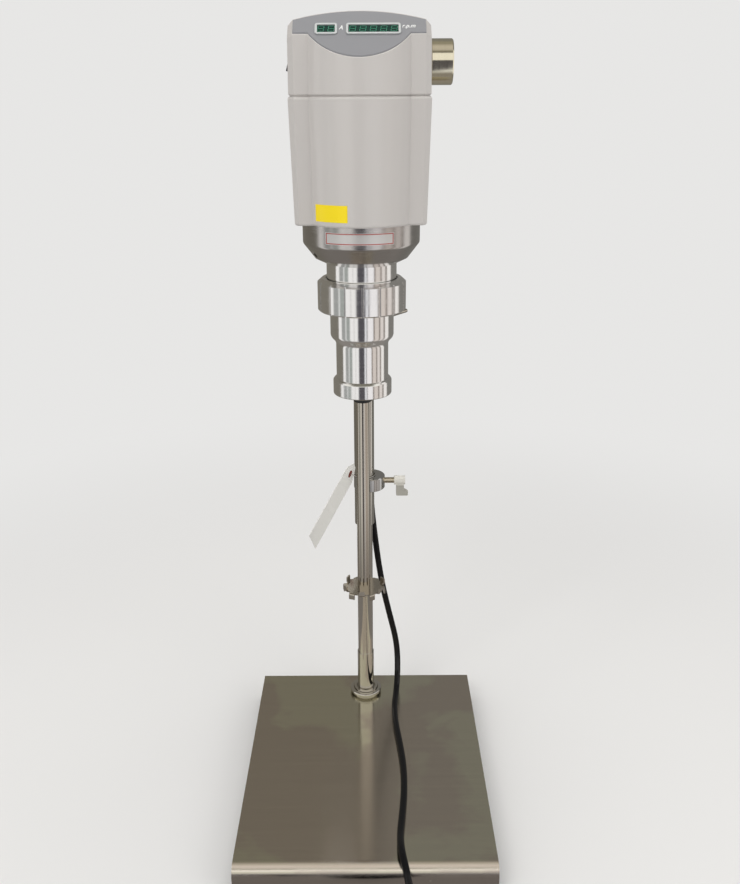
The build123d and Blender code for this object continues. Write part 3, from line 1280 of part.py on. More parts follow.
with BuildPart() as tag_eyelet:
    for face_side in (1, -1):
        with BuildSketch(tag_plane.offset(face_side * TAG_THICKNESS / 2)):
            Circle(EYELET_RADIUS)
            Circle(EYELET_BORE, mode=Mode.SUBTRACT)
        extrude(amount=face_side * EYELET_SHEET)
    with BuildSketch(tag_plane.offset(-TAG_THICKNESS / 2)):
        Circle(EYELET_NECK)
        Circle(EYELET_BORE, mode=Mode.SUBTRACT)
    extrude(amount=TAG_THICKNESS)
save(tag_eyelet.part, "tag_eyelet")

LOOP_RADIUS = OUTER_TUBE_RADIUS + 2 * WIRE_RADIUS
LOOP_Z = CLAMP_BOTTOM + CLAMP_HEIGHT + WIRE_RADIUS + CLEARANCE
with BuildPart() as tag_wire:
    with BuildSketch(Plane(origin=(0, COLUMN_Y, 0), x_dir=(1, 0, 0), z_dir=(0, -1, 0))):
        with Locations((LOOP_RADIUS, LOOP_Z)):
            Circle(WIRE_RADIUS)
    revolve(axis=Axis((0, COLUMN_Y, 0), (0, 0, 1)))
    hole = Vector(*TAG_HOLE)
    start = Vector(0, COLUMN_Y, LOOP_Z) + Vector(-0.5, -0.866, 0) * LOOP_RADIUS
    with BuildLine() as lead:
        through = Vector(*TAG_FACE) * 4
        Spline(start, (start + hole) / 2 + through, hole + through * 0.8, hole, hole - through)
    with BuildSketch(Plane(origin=lead.wire() @ 0, z_dir=lead.wire() % 0)):
        Circle(WIRE_RADIUS)
    sweep(path=lead.wire())
save(tag_wire.part, "tag_wire")

# ---------------------------------------------------------------- cord, coil and plug

with BuildPart() as cord_strain_relief:
    with BuildSketch(upright(HEAD_BOTTOM, (CORD_EXIT_X, CORD_EXIT_Y))):
        Circle(RELIEF_NECK)
    extrude(amount=CHASSIS_TOP - HEAD_BOTTOM)
    with BuildSketch(upright(CHASSIS_TOP, (CORD_EXIT_X, CORD_EXIT_Y))):
        Circle(RELIEF_NECK + 1.5)
    extrude(amount=2.5)
    with BuildSketch(upright(HEAD_BOTTOM, (CORD_EXIT_X, CORD_EXIT_Y))):
        Circle(RELIEF_NECK + RELIEF_COLLAR)
    slim = atan2(RELIEF_NECK + RELIEF_COLLAR - RELIEF_TIP, RELIEF_LENGTH)
    extrude(amount=-RELIEF_LENGTH, taper=degrees(slim))
save(cord_strain_relief.part, "cord_strain_relief")

PLATE_Z = BASE_HEIGHT + CORD_RADIUS + 0.1
PLATE_EDGE = -BASE_DEPTH / 2
CORD_ROUTE = [
    (CORD_EXIT_X, CORD_EXIT_Y, HEAD_BOTTOM - RELIEF_LENGTH),
    (CORD_EXIT_X, CORD_EXIT_Y, 540.0),
    (4.2, COLUMN_Y + 19.0, 478.0),
    (3.4, COLUMN_Y + 20.0, 405.0),
    (3.6, COLUMN_Y + 21.0, 332.0),
    (7.0, COLUMN_Y + 22.0, 270.0),
    (12.3, COLUMN_Y + 23.0, 218.0),
    (19.0, COLUMN_Y + 24.5, 167.0),
    (28.8, COLUMN_Y + 25.8, 121.0),
    (36.0, COLUMN_Y + 25.8, 90.0),
    (38.6, COLUMN_Y + 23.7, 67.0),
    (38.3, COLUMN_Y + 12.0, 45.4),
    (36.2, COLUMN_Y - 8.4, PLATE_Z + 0.2),
    (33.2, 86.0, PLATE_Z),
    (33.8, 55.0, PLATE_Z),
    (37.6, 20.0, PLATE_Z),
    (40.4, -16.0, PLATE_Z),
    (40.0, -52.0, PLATE_Z),
    (36.8, -87.0, PLATE_Z),
    (33.4, PLATE_EDGE + 38.0, PLATE_Z + 1.6),
    (34.0, PLATE_EDGE + 12.0, PLATE_Z + 6.2),
    (38.5, PLATE_EDGE - 12.0, PLATE_Z + 2.0),
    (42.6, PLATE_EDGE - 32.0, 23.5),
    (45.4, PLATE_EDGE - 51.0, 14.2),
]


def cord_radii(points):
    """Arc at each corner of a route, as large as its two runs allow."""
    radii = []
    for before, here, after in zip(points, points[1:], points[2:]):
        arriving, leaving = Vector(here) - Vector(before), Vector(after) - Vector(here)
        half_turn = radians(arriving.get_angle(leaving)) / 2
        radii.append(0.45 * min(arriving.length, leaving.length) / tan(half_turn))
    return radii


def cord_tube(points):
    """Plain tube of the cord along straight runs and tangent arcs."""
    radii = cord_radii(points)
    with BuildPart() as cord:
        with BuildLine() as route:
            FilletPolyline(*points, radius=radii)
        wire = route.wire()
        with BuildSketch(Plane(origin=wire @ 0, z_dir=wire % 0)):
            Circle(CORD_RADIUS)
        sweep(path=wire)
    print("cord radii", [round(r) for r in radii], "length", round(wire.length, 1))
    return cord.part


COIL_SECTION = 4 * CORD_RADIUS
COIL_LIFT = TIE_THICKNESS + CLEARANCE
with BuildPart() as cord_coil:
    with BuildSketch(Plane(origin=(COIL_X, COIL_Y, 0), x_dir=(1, 0, 0), z_dir=(0, -1, 0))):
        with Locations((COIL_TURN_RADIUS, COIL_LIFT + COIL_SECTION / 2)):
            RectangleRounded(COIL_SECTION, COIL_SECTION, CORD_RADIUS * 0.98)
    revolve(axis=Axis((COIL_X, COIL_Y, 0), (0, 0, 1)))
save(cord_coil.part, "cord_coil")

with BuildPart() as cord_tie:
    with BuildSketch(Plane.YZ.offset(COIL_X - TIE_WIDTH / 2)):
        with Locations((COIL_Y + COIL_TURN_RADIUS, COIL_LIFT + COIL_SECTION / 2)):
            RectangleRounded(COIL_SECTION + 2 * COIL_LIFT, COIL_SECTION + 2 * COIL_LIFT, CORD_RADIUS)
            inner = COIL_SECTION + 2 * (COIL_LIFT - TIE_THICKNESS)
            RectangleRounded(inner, inner, CORD_RADIUS * 0.8, mode=Mode.SUBTRACT)
    extrude(amount=TIE_WIDTH)
save(cord_tie.part, "cord_tie")

TAIL_Y = COIL_Y - COIL_TURN_RADIUS - CORD_RADIUS
TAIL_Z = COIL_LIFT + CORD_RADIUS
PLUG_X = COIL_X - PLUG_FROM_COIL
CORD_TAIL = [
    (COIL_X - 14.0, TAIL_Y + 2.0, TAIL_Z),
    (COIL_X - 24.0, TAIL_Y - 0.5, TAIL_Z + 1.0),
    (PLUG_X + 9.0, TAIL_Y - 1.0, PLUG_BODY_HEIGHT / 2),
    (PLUG_X, TAIL_Y - 1.0, PLUG_BODY_HEIGHT / 2),
]
with BuildPart() as power_cord:
    add(cord_tube(CORD_ROUTE))
    add(cord_tube(CORD_TAIL))
save(power_cord.part, "power_cord")

with BuildPart() as power_plug:
    end = Plane(origin=(PLUG_X, TAIL_Y - 1.0, PLUG_BODY_HEIGHT / 2), x_dir=(0, 1, 0), z_dir=(-1, 0, 0))
    with BuildSketch(end):
        Circle(RELIEF_TIP)
    with BuildSketch(end.offset(PLUG_RELIEF)):
        Circle(RELIEF_TIP + 2.2)
    loft()
    with BuildSketch(end.offset(PLUG_RELIEF)):
        RectangleRounded(PLUG_BODY_WIDTH, PLUG_BODY_HEIGHT, PLUG_ROUND)
    extrude(amount=PLUG_BODY_LENGTH)
    chamfer(power_plug.faces().sort_by(Axis.X)[0].outer_wire().edges(), length=1.0)
save(power_plug.part, "power_plug")

with BuildPart() as plug_blades:
    with BuildSketch(end.offset(PLUG_RELIEF + PLUG_BODY_LENGTH)):
        with GridLocations(BLADE_SPACING, 0, 2, 1):
            Rectangle(BLADE_THICKNESS, BLADE_WIDTH)
    extrude(amount=BLADE_LENGTH)
save(plug_blades.part, "plug_blades")

with BuildPart() as cover_screws:
    with BuildSketch(Plane.XY.offset(HEAD_BOTTOM)):
        with Locations(*COVER_SCREW_PLACES):
            Circle(COVER_SCREW_RADIUS)
    extrude(amount=CHASSIS_TOP - HEAD_BOTTOM)
    with BuildSketch(Plane.XY.offset(HEAD_BOTTOM)):
        with Locations(*COVER_SCREW_PLACES):
            Circle(COVER_SCREW_HEAD_RADIUS)
    extrude(amount=-COVER_SCREW_HEAD_HEIGHT)
save(cover_screws.part, "cover_screws")
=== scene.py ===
import json
import math

import bpy
from mathutils import Matrix, Vector


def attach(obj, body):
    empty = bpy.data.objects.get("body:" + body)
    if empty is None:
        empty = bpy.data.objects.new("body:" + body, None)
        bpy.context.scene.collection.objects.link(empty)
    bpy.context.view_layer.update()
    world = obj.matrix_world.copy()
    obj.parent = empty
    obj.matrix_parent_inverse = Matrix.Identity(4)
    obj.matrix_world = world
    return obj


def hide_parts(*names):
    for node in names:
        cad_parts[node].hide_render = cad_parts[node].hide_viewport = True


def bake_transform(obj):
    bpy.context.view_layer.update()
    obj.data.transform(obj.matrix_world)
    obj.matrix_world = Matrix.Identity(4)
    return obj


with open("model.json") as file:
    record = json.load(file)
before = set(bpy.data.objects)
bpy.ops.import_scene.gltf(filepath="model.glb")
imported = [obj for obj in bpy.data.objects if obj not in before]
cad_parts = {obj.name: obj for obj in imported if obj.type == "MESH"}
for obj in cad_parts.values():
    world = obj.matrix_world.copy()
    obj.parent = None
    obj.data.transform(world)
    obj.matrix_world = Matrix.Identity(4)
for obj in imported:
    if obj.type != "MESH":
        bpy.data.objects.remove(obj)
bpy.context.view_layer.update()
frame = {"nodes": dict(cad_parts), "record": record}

# ---------------------------------------------------------------- values, in metres and degrees

VIEW_FROM = (0.0064, -0.824, 0.706)
VIEW_DOWN = 20.55
VIEW_ROLL = -0.3
IMAGE_TALL = 884
VIEW_FOCUS = 930

BACKDROP = (0.80, 0.795, 0.785)
ROOM_LIGHT = (0.56, 0.56, 0.56)
LAMP_COLOUR = (1.0, 0.985, 0.96)
LAMPS = (                             # name, place, aimed at, side of the square, power
    ("key softbox", (-0.9, -1.5, 1.9), (0, 0, 0.5), 1.1, 15),
    ("fill softbox", (1.5, -1.2, 1.2), (0, 0, 0.45), 1.0, 6),
    ("top softbox", (0.1, 0.2, 2.3), (0, 0, 0.3), 1.4, 16),
)
FLOOR_SIZE = 7.0
FLOOR_DROP = 0.0002
FLOOR_REACH = 2.0                     # the floor's shades change over this distance from the middle
FLOOR_NEAR_MIRRORED = (0.28, 0.26, 0.24)

SHAFT_AXIS = (0, -0.028, 0)
COLUMN_AXIS = (0, 0.122, 0)

SLOPE_FOOT = Vector((0.0, -0.087, 0.7296))
SLOPE_ANGLE = 41.4
PANEL_FACE = 0.0008
FRAME_RISE = 0.00025                  # what stands this far above the panel's face is a window frame
WINDOW_MIDDLE = 0.03165
CHARACTER_RISE = 0.00055
CHARACTER_PITCH = 0.0078
CHARACTER_HEIGHT, CHARACTER_WIDTH, BAR_WIDTH, BAR_DEPTH = 0.0062, 0.0049, 0.00052, 0.00018
CHARACTER_LEAN = 0.13
CURRENT_MIDDLE, CURRENT_CHARACTERS = -0.025, 2
SPEED_MIDDLE, SPEED_CHARACTERS = 0.0106, 5
PRINT_LIFT = 0.00005
PRINT_DEPTH_SCALE = 0.004

BEND_MIDDLE = (-0.144, 0.0205)        # Y and Z of the centre of the base's front bend
FLANGE_LOWER_EDGE = 0.5755
LEVER_ARM_TOP = 0.3013
LABEL_LOW, LABEL_HIGH = (-0.0285, 0.5926), (0.0265, 0.6021)
LABEL_LINE = 0.0007
RINGS_PER_METRE = 2600.0
METAL_SMEARS = 0.05                   # roughness that the wiped film adds
UPPER_DULLING = 0.09                  # roughness that a metal's duller stretch adds
COAT_ROUGHNESS = 0.12

CORD_WIDTH = 0.007
CORD_RUN = [
    (0.0050, 0.1395, 0.5725), (0.0050, 0.1395, 0.5400), (0.0042, 0.1410, 0.4780),
    (0.0034, 0.1420, 0.4050), (0.0036, 0.1430, 0.3320), (0.0070, 0.1440, 0.2700),
    (0.0123, 0.1450, 0.2180), (0.0190, 0.1465, 0.1670), (0.0288, 0.1478, 0.1210),
    (0.0360, 0.1478, 0.0900), (0.0386, 0.1457, 0.0670), (0.0383, 0.1340, 0.0454),
    (0.0362, 0.1136, 0.0353), (0.0332, 0.0860, 0.0351), (0.0338, 0.0550, 0.0351),
    (0.0376, 0.0200, 0.0351), (0.0404, -0.0160, 0.0351), (0.0400, -0.0520, 0.0351),
    (0.0368, -0.0870, 0.0351), (0.0334, -0.1170, 0.0367), (0.0340, -0.1430, 0.0413),
    (0.0385, -0.1670, 0.0371), (0.0426, -0.1870, 0.0235), (0.0454, -0.2060, 0.0142),
]
CORD_TAIL = [
    (-0.0120, -0.2790, 0.0050), (-0.0230, -0.2750, 0.0060), (-0.0340, -0.2727, 0.0078),
    (-0.0445, -0.2725, 0.0080),
]
COIL_MIDDLE = (0.003, -0.228)
COIL_POINTS = 16
INNER_TURN, OUTER_TURN, LAST_TURN = 0.0365, 0.0435, 0.0516
LOWER_LAYER, UPPER_LAYER = 0.0046, 0.0116
TURN_CHANGES = (                      # first and last angle of each change, and what the radius gains
    (310, 355, INNER_TURN - OUTER_TURN),
    (965, 1015, OUTER_TURN - INNER_TURN),
    (1270, 1325, LAST_TURN - OUTER_TURN),
)
LAYER_CHANGE = (640, 690)
COIL_END = 1525


# ---------------------------------------------------------------- shader tree helpers

def feed(tree, value, socket):
    """Links the value to the socket where it is itself a socket, and types it in where it is not."""
    if isinstance(value, bpy.types.NodeSocket):
        tree.links.new(value, socket)
    elif socket.type == "RGBA":
        socket.default_value = (*value, 1)
    else:
        socket.default_value = value


def new_group(name, inputs, outputs):
    """An empty group with its input and output nodes; both lists hold (label, kind of socket)."""
    group = bpy.data.node_groups.new(name, "ShaderNodeTree")
    for in_out, sockets in (("INPUT", inputs), ("OUTPUT", outputs)):
        for label, kind in sockets:
            group.interface.new_socket(name=label, in_out=in_out, socket_type="NodeSocket" + kind)
    return group, group.nodes.new("NodeGroupInput"), group.nodes.new("NodeGroupOutput")


def maths(tree, operation, *values, clamp=False):
    node = tree.nodes.new("ShaderNodeMath")
    node.operation = operation
    node.use_clamp = clamp
    for socket, value in zip(node.inputs, values):
        feed(tree, value, socket)
    return node.outputs[0]


def vector_maths(tree, operation, first, second):
    node = tree.nodes.new("ShaderNodeVectorMath")
    node.operation = operation
    for socket, value in zip(node.inputs, (first, second)):
        feed(tree, value, socket)
    return node.outputs[0]


def split(tree, vector):
    """The X, Y and Z of a vector."""
    node = tree.nodes.new("ShaderNodeSeparateXYZ")
    tree.links.new(vector, node.inputs[0])
    return node.outputs


def from_axis(tree, x, y):
    """Distance from the Z axis."""
    squares = maths(tree, "MULTIPLY", x, x), maths(tree, "MULTIPLY", y, y)
    return maths(tree, "SQRT", maths(tree, "ADD", *squares))


def ramp(tree, value, stops, interpolation="LINEAR"):
    node = tree.nodes.new("ShaderNodeValToRGB")
    node.color_ramp.interpolation = interpolation
    elements = node.color_ramp.elements
    while len(elements) < len(stops):
        elements.new(0.5)
    for element, (place, colour) in zip(elements, stops):
        element.position = place
        grey = colour if hasattr(colour, "__len__") else (colour,) * 3
        element.color = (*grey, 1)
    tree.links.new(value, node.inputs["Fac"])
    return node.outputs["Color"]


def blend_colour(tree, factor, first, second, blend="MIX"):
    node = tree.nodes.new("ShaderNodeMix")
    node.data_type = "RGBA"
    node.blend_type = blend
    for label, value in (("Factor", factor), ("A", first), ("B", second)):
        feed(tree, value, node.inputs[label])
    return node.outputs["Result"]


def tint(tree, colour, shade):
    """colour times shade, ready for Base Color."""
    return blend_colour(tree, 1.0, colour, shade, "MULTIPLY")


def noise(tree, vector, scale, detail, roughness):
    node = tree.nodes.new("ShaderNodeTexNoise")
    for label, value in (("Vector", vector), ("Scale", scale), ("Detail", detail), ("Roughness", roughness)):
        feed(tree, value, node.inputs[label])
    return node.outputs["Fac"]


def uneven(tree, fine, coarse):
    """Two patterns added, each about its middle."""
    return maths(tree, "ADD", maths(tree, "SUBTRACT", fine, 0.5), maths(tree, "SUBTRACT", coarse, 0.5))


# ---------------------------------------------------------------- small modelling helpers

def clear_selection():
    if bpy.context.object and bpy.context.object.mode != "OBJECT":
        bpy.ops.object.mode_set(mode="OBJECT")
    bpy.ops.object.select_all(action="DESELECT")


def copy_piece(source):
    copy = source.copy()
    copy.data = source.data.copy()
    bpy.context.scene.collection.objects.link(copy)
    return copy


def join_pieces(pieces):
    clear_selection()
    for piece in pieces:
        piece.select_set(True)
    bpy.context.view_layer.objects.active = pieces[0]
    bpy.ops.object.join()
    return bpy.context.object


def settle(piece):
    """Puts the piece's place into its mesh and its object at the origin."""
    piece.data.transform(piece.matrix_world)
    piece.matrix_world = Matrix.Identity(4)
    return piece


def finish_piece(piece, name, body, material):
    piece.name = name
    piece.data.name = name
    piece.data.materials.clear()
    piece.data.materials.append(material)
    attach(piece, body)
    return piece


# ---------------------------------------------------------------- camera, surroundings, lamps, floor

def aim_camera():
    data = bpy.data.cameras.new("view")
    data.sensor_width = 36.0
    data.lens = data.sensor_width * VIEW_FOCUS / IMAGE_TALL
    camera = bpy.data.objects.new("view", data)
    bpy.context.scene.collection.objects.link(camera)
    tilt = Matrix.Rotation(math.radians(90 - VIEW_DOWN), 4, "X")
    roll = Matrix.Rotation(math.radians(VIEW_ROLL), 4, "Z")
    camera.matrix_world = Matrix.Translation(VIEW_FROM) @ tilt @ roll
    bpy.context.scene.camera = camera


def stripes(*bands):
    """Colour stops from (first angle, last angle, colour) bands, angles those of the wall that mirrors them."""
    return [(0.5 + angle / 180, colour) for first, last, colour in bands for angle in (first, last)]


def studio_surroundings():
    """The room that polished metal mirrors: strip lights and gaps by bearing, a ceiling and a dim back wall."""
    group, given, result = new_group("studio surroundings", [("Direction", "Vector")], [("Colour", "Color")])
    x, y, z = split(group, given.outputs["Direction"])
    bearing = maths(group, "ARCTAN2", x, maths(group, "MULTIPLY", y, -1))
    share = maths(group, "MULTIPLY_ADD", bearing, 1 / (2 * math.pi), 0.5)
    dim, dark, bright = (0.225, 0.210, 0.178), (0.105, 0.100, 0.112), (1.0, 0.99, 0.98)
    left = ramp(group, share, stripes(
        (-90, -49, dim), (-47.5, -46.5, dim), (-45.5, -39, bright), (-38, -31, (0.40, 0.41, 0.40)),
        (-30.3, -29, (0.86, 0.87, 0.86)), (-28.2, -22.5, (0.40, 0.425, 0.405)), (-21, -15, bright),
        (-14.3, -13.6, (0.74, 0.73, 0.72)), (-13, -8, bright), (-6, 0, dark),
    ))
    right = ramp(group, share, stripes(
        (0, 4.5, dark), (5.5, 7.5, (0.96, 0.97, 1.0)), (8.2, 9.6, (0.40, 0.39, 0.40)),
        (10.5, 20, (1.0, 0.98, 0.99)), (21, 22.5, (0.27, 0.235, 0.21)), (23.5, 31, (0.76, 0.69, 0.64)),
        (32, 34, (0.28, 0.245, 0.22)), (35, 41, (0.84, 0.78, 0.74)), (42, 45, (0.33, 0.30, 0.275)),
        (46, 54, (0.98, 0.95, 0.92)), (56, 90, (0.235, 0.228, 0.21)),
    ))
    strips = blend_colour(group, maths(group, "GREATER_THAN", x, 0.0), left, right)

    height = maths(group, "ARCTAN2", z, from_axis(group, x, y))
    rise = maths(group, "MULTIPLY_ADD", height, 1 / math.pi, 0.5)
    front = ramp(group, share, [(0.24, 0), (0.30, 1), (0.70, 1), (0.76, 0)])
    upper_front = ramp(group, rise, [(0.0, 0), (0.53, 0), (0.545, 1), (1.0, 1)])
    window_light, window_gap = (1.0, 0.98, 0.92), (0.24, 0.23, 0.19)
    sky = ramp(group, rise, [
        (0.50, window_light), (0.73, window_light), (0.745, window_gap), (0.79, window_gap),
        (0.82, (0.50, 0.47, 0.42)),
    ])
    lit = blend_colour(group, maths(group, "MULTIPLY", front, upper_front), strips, sky)

    ceiling = ramp(group, rise, [(0.80, 0), (0.88, 1)])
    behind = ramp(group, maths(group, "MULTIPLY_ADD", y, 0.5, 0.5), [(0.42, 0), (0.58, 1)])
    overhead = blend_colour(group, behind, (0.60, 0.555, 0.50), (0.32, 0.30, 0.245))
    group.links.new(blend_colour(group, ceiling, lit, overhead), result.inputs["Colour"])
    return group


def use_room(tree, surroundings, direction):
    room = tree.nodes.new("ShaderNodeGroup")
    room.node_tree = surroundings
    tree.links.new(direction, room.inputs["Direction"])
    return room.outputs["Colour"]


def light_room(surroundings):
    world = bpy.data.worlds.new("studio")
    bpy.context.scene.world = world
    world.use_nodes = True
    tree = world.node_tree
    tree.nodes.clear()
    path = tree.nodes.new("ShaderNodeLightPath")
    place = tree.nodes.new("ShaderNodeTexCoord")
    mirrored = use_room(tree, surroundings, place.outputs["Generated"])
    seen = maths(tree, "MAXIMUM", path.outputs["Is Camera Ray"], path.outputs["Is Transmission Ray"])
    shown = blend_colour(tree, seen, ROOM_LIGHT, BACKDROP)
    light = tree.nodes.new("ShaderNodeBackground")
    feed(tree, blend_colour(tree, path.outputs["Is Glossy Ray"], shown, mirrored), light.inputs["Color"])
    out = tree.nodes.new("ShaderNodeOutputWorld")
    tree.links.new(light.outputs[0], out.inputs["Surface"])

    for name, spot, aim, size, power in LAMPS:
        lamp = bpy.data.lights.new(name, "AREA")
        lamp.shape = "SQUARE"
        lamp.size = size
        lamp.energy = power
        lamp.color = LAMP_COLOUR
        holder = bpy.data.objects.new(name, lamp)
        bpy.context.scene.collection.objects.link(holder)
        holder.location = spot
        holder.visible_glossy = False
        holder.rotation_euler = (Vector(aim) - Vector(spot)).to_track_quat("-Z", "Y").to_euler()


def mix_shaders(tree, factor, first, second):
    node = tree.nodes.new("ShaderNodeMixShader")
    for socket, value in zip(node.inputs, (factor, first, second)):
        tree.links.new(value, socket)
    return node.outputs[0]


def lay_floor(surroundings):
    """A matt floor that fades into the backdrop, and that polished metal sees as part of the room."""
    clear_selection()
    bpy.ops.mesh.primitive_plane_add(size=FLOOR_SIZE, location=(0, 0, -FLOOR_DROP))
    floor = bpy.context.object
    floor.name = "pale_floor"
    material = bpy.data.materials.new("pale floor")
    material.use_nodes = True
    tree = material.node_tree
    tree.nodes.clear()
    place = tree.nodes.new("ShaderNodeTexCoord").outputs["Object"]
    path = tree.nodes.new("ShaderNodeLightPath")
    distance = tree.nodes.new("ShaderNodeVectorMath")
    distance.operation = "LENGTH"
    tree.links.new(place, distance.inputs[0])
    reach = maths(tree, "MULTIPLY", distance.outputs["Value"], 1 / FLOOR_REACH)

    matt = tree.nodes.new("ShaderNodeBsdfDiffuse")
    feed(tree, BACKDROP, matt.inputs["Color"])
    backdrop = tree.nodes.new("ShaderNodeEmission")
    feed(tree, BACKDROP, backdrop.inputs["Color"])
    fade = ramp(tree, reach, [(0.20, 0), (0.62, 1)], "EASE")
    faded = maths(tree, "MULTIPLY", fade, path.outputs["Is Camera Ray"])
    seen = mix_shaders(tree, faded, matt.outputs[0], backdrop.outputs[0])

    away = ramp(tree, reach, [(0.21, 0), (0.40, 1)])
    mirrored = tree.nodes.new("ShaderNodeEmission")
    room = use_room(tree, surroundings, place)
    feed(tree, blend_colour(tree, away, FLOOR_NEAR_MIRRORED, room), mirrored.inputs["Color"])
    both = mix_shaders(tree, path.outputs["Is Glossy Ray"], seen, mirrored.outputs[0])
    out = tree.nodes.new("ShaderNodeOutputMaterial")
    tree.links.new(both, out.inputs["Surface"])
    floor.data.materials.append(material)


# ---------------------------------------------------------------- power cord

def coil_place(angle):
    """Turn radius and layer height after the lead has gone round by angle degrees, clockwise from above."""
    def step(start, end):
        t = min(max((angle - start) / (end - start), 0.0), 1.0)
        return t * t * (3 - 2 * t)
    radius = OUTER_TURN
    for start, end, gain in TURN_CHANGES:
        radius += gain * step(start, end)
    return radius, UPPER_LAYER + (LOWER_LAYER - UPPER_LAYER) * step(*LAYER_CHANGE)


def cord_points():
    points = [Vector(p) for p in CORD_RUN]
    turn = 0.0
    stretch = 1 / math.cos(math.pi / COIL_POINTS)
    while turn <= COIL_END:
        radius, height = coil_place(turn)
        angle = -math.radians(turn)
        points.append(Vector((
            COIL_MIDDLE[0] + radius * stretch * math.cos(angle),
            COIL_MIDDLE[1] + radius * stretch * math.sin(angle),
            height,
        )))
        turn += 360 / COIL_POINTS
    return points + [Vector(p) for p in CORD_TAIL]


def cord_curve(points, bevel):
    data = bpy.data.curves.new("cord_line", "CURVE")
    data.dimensions = "3D"
    data.resolution_u = 8
    data.bevel_depth = bevel
    data.bevel_resolution = 5
    spline = data.splines.new("NURBS")
    spline.points.add(len(points) - 1)
    for place, point in zip(spline.points, points):
        place.co = (*point, 1)
    spline.use_endpoint_u = True
    spline.order_u = 3
    holder = bpy.data.objects.new("cord_line", data)
    bpy.context.scene.collection.objects.link(holder)
    mesh = bpy.data.meshes.new_from_object(holder)
    bpy.data.objects.remove(holder)
    return mesh


def lay_cord(material):
    points = cord_points()
    line = [tuple(v.co) for v in cord_curve(points, 0.0).vertices]
    tube = cord_curve(points, CORD_WIDTH / 2)
    cord = bpy.data.objects.new("supply_lead", tube)
    bpy.context.scene.collection.objects.link(cord)
    for face in tube.polygons:
        face.use_smooth = True
    cord = finish_piece(cord, "supply_lead", "stand", material)
    cord.parent = None
    cord.matrix_world = Matrix.Identity(4)
    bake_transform(cord)
    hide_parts("power_cord", "cord_coil")


# ---------------------------------------------------------------- shader groups

def grain_group():
    """Moulded or painted skin: a fine pebble for the height, and a slow drift of shade."""
    group, given, result = new_group(
        "skin grain",
        [("Place", "Vector"), ("Pebble size", "Float"), ("Drift", "Float")],
        [("Height", "Float"), ("Shade", "Float"), ("Gloss", "Float")],
    )
    place = given.outputs["Place"]
    pebble = noise(group, place, given.outputs["Pebble size"], 3.0, 0.6)
    slow = noise(group, place, 14.0, 3.0, 0.55)
    group.links.new(pebble, result.inputs["Height"])
    centred = maths(group, "SUBTRACT", slow, 0.5)
    shade = maths(group, "MULTIPLY_ADD", centred, given.outputs["Drift"], 1.0)
    group.links.new(shade, result.inputs["Shade"])
    gloss = maths(group, "MULTIPLY_ADD", noise(group, place, 60.0, 4.0, 0.6), 0.16, -0.08)
    group.links.new(gloss, result.inputs["Gloss"])
    return group


def drawn_group():
    """Long fine scratches, stretched along one direction."""
    group, given, result = new_group(
        "drawn lines",
        [("Place", "Vector"), ("Stretch", "Vector"), ("Contrast", "Float")],
        [("Height", "Float"), ("Shade", "Float"), ("Gloss", "Float")],
    )
    run = vector_maths(group, "MULTIPLY", given.outputs["Place"], given.outputs["Stretch"])
    fine = noise(group, run, 1.0, 4.0, 0.65)
    coarse = noise(group, run, 0.23, 2.0, 0.5)
    group.links.new(fine, result.inputs["Height"])
    both = uneven(group, fine, coarse)
    shade = maths(group, "MULTIPLY_ADD", both, given.outputs["Contrast"], 1.0)
    group.links.new(shade, result.inputs["Shade"])
    group.links.new(maths(group, "MULTIPLY", both, 0.12), result.inputs["Gloss"])
    return group


def turned_group():
    """Lathe marks: rings round the Z axis of the place given, on walls and on end faces alike."""
    group, given, result = new_group(
        "lathe rings",
        [("Place", "Vector"), ("Rings per metre", "Float"), ("Contrast", "Float")],
        [("Height", "Float"), ("Shade", "Float"), ("Gloss", "Float")],
    )
    x, y, z = split(group, given.outputs["Place"])
    out = maths(group, "ADD", from_axis(group, x, y), z)
    travel = maths(group, "MULTIPLY", out, given.outputs["Rings per metre"])
    along = group.nodes.new("ShaderNodeCombineXYZ")
    group.links.new(travel, along.inputs[0])
    group.links.new(maths(group, "MULTIPLY", maths(group, "ARCTAN2", y, x), 0.35), along.inputs[1])
    rings = noise(group, along.outputs[0], 1.0, 3.0, 0.6)
    broad = noise(group, along.outputs[0], 0.11, 2.0, 0.5)
    group.links.new(rings, result.inputs["Height"])
    both = uneven(group, rings, broad)
    group.links.new(maths(group, "MULTIPLY_ADD", both, given.outputs["Contrast"], 1.0), result.inputs["Shade"])
    group.links.new(maths(group, "MULTIPLY", both, 0.14), result.inputs["Gloss"])
    return group


def handling_group():
    """Wiped film, finger marks and the odd speck: 0 clean, 1 smeared."""
    group, given, result = new_group(
        "handling marks",
        [("Place", "Vector"), ("Size", "Float")],
        [("Film", "Float"), ("Specks", "Float")],
    )
    place = given.outputs["Place"]
    bend = group.nodes.new("ShaderNodeTexNoise")
    group.links.new(place, bend.inputs["Vector"])
    bend.inputs["Scale"].default_value = 6.0
    drift = vector_maths(group, "MULTIPLY", bend.outputs["Color"], (0.12, 0.12, 0.12))
    bent = vector_maths(group, "ADD", place, drift)
    patches = ramp(group, noise(group, bent, given.outputs["Size"], 4.0, 0.55), [(0.47, 0), (0.54, 1)])
    group.links.new(patches, result.inputs["Film"])
    dots = group.nodes.new("ShaderNodeTexVoronoi")
    dots.inputs["Scale"].default_value = 38.0
    group.links.new(place, dots.inputs["Vector"])
    group.links.new(maths(group, "LESS_THAN", dots.outputs["Distance"], 0.035), result.inputs["Specks"])
    return group


GROUPS = {
    "grain": grain_group(), "drawn": drawn_group(), "turned": turned_group(), "handling": handling_group(),
}


# ---------------------------------------------------------------- finishes

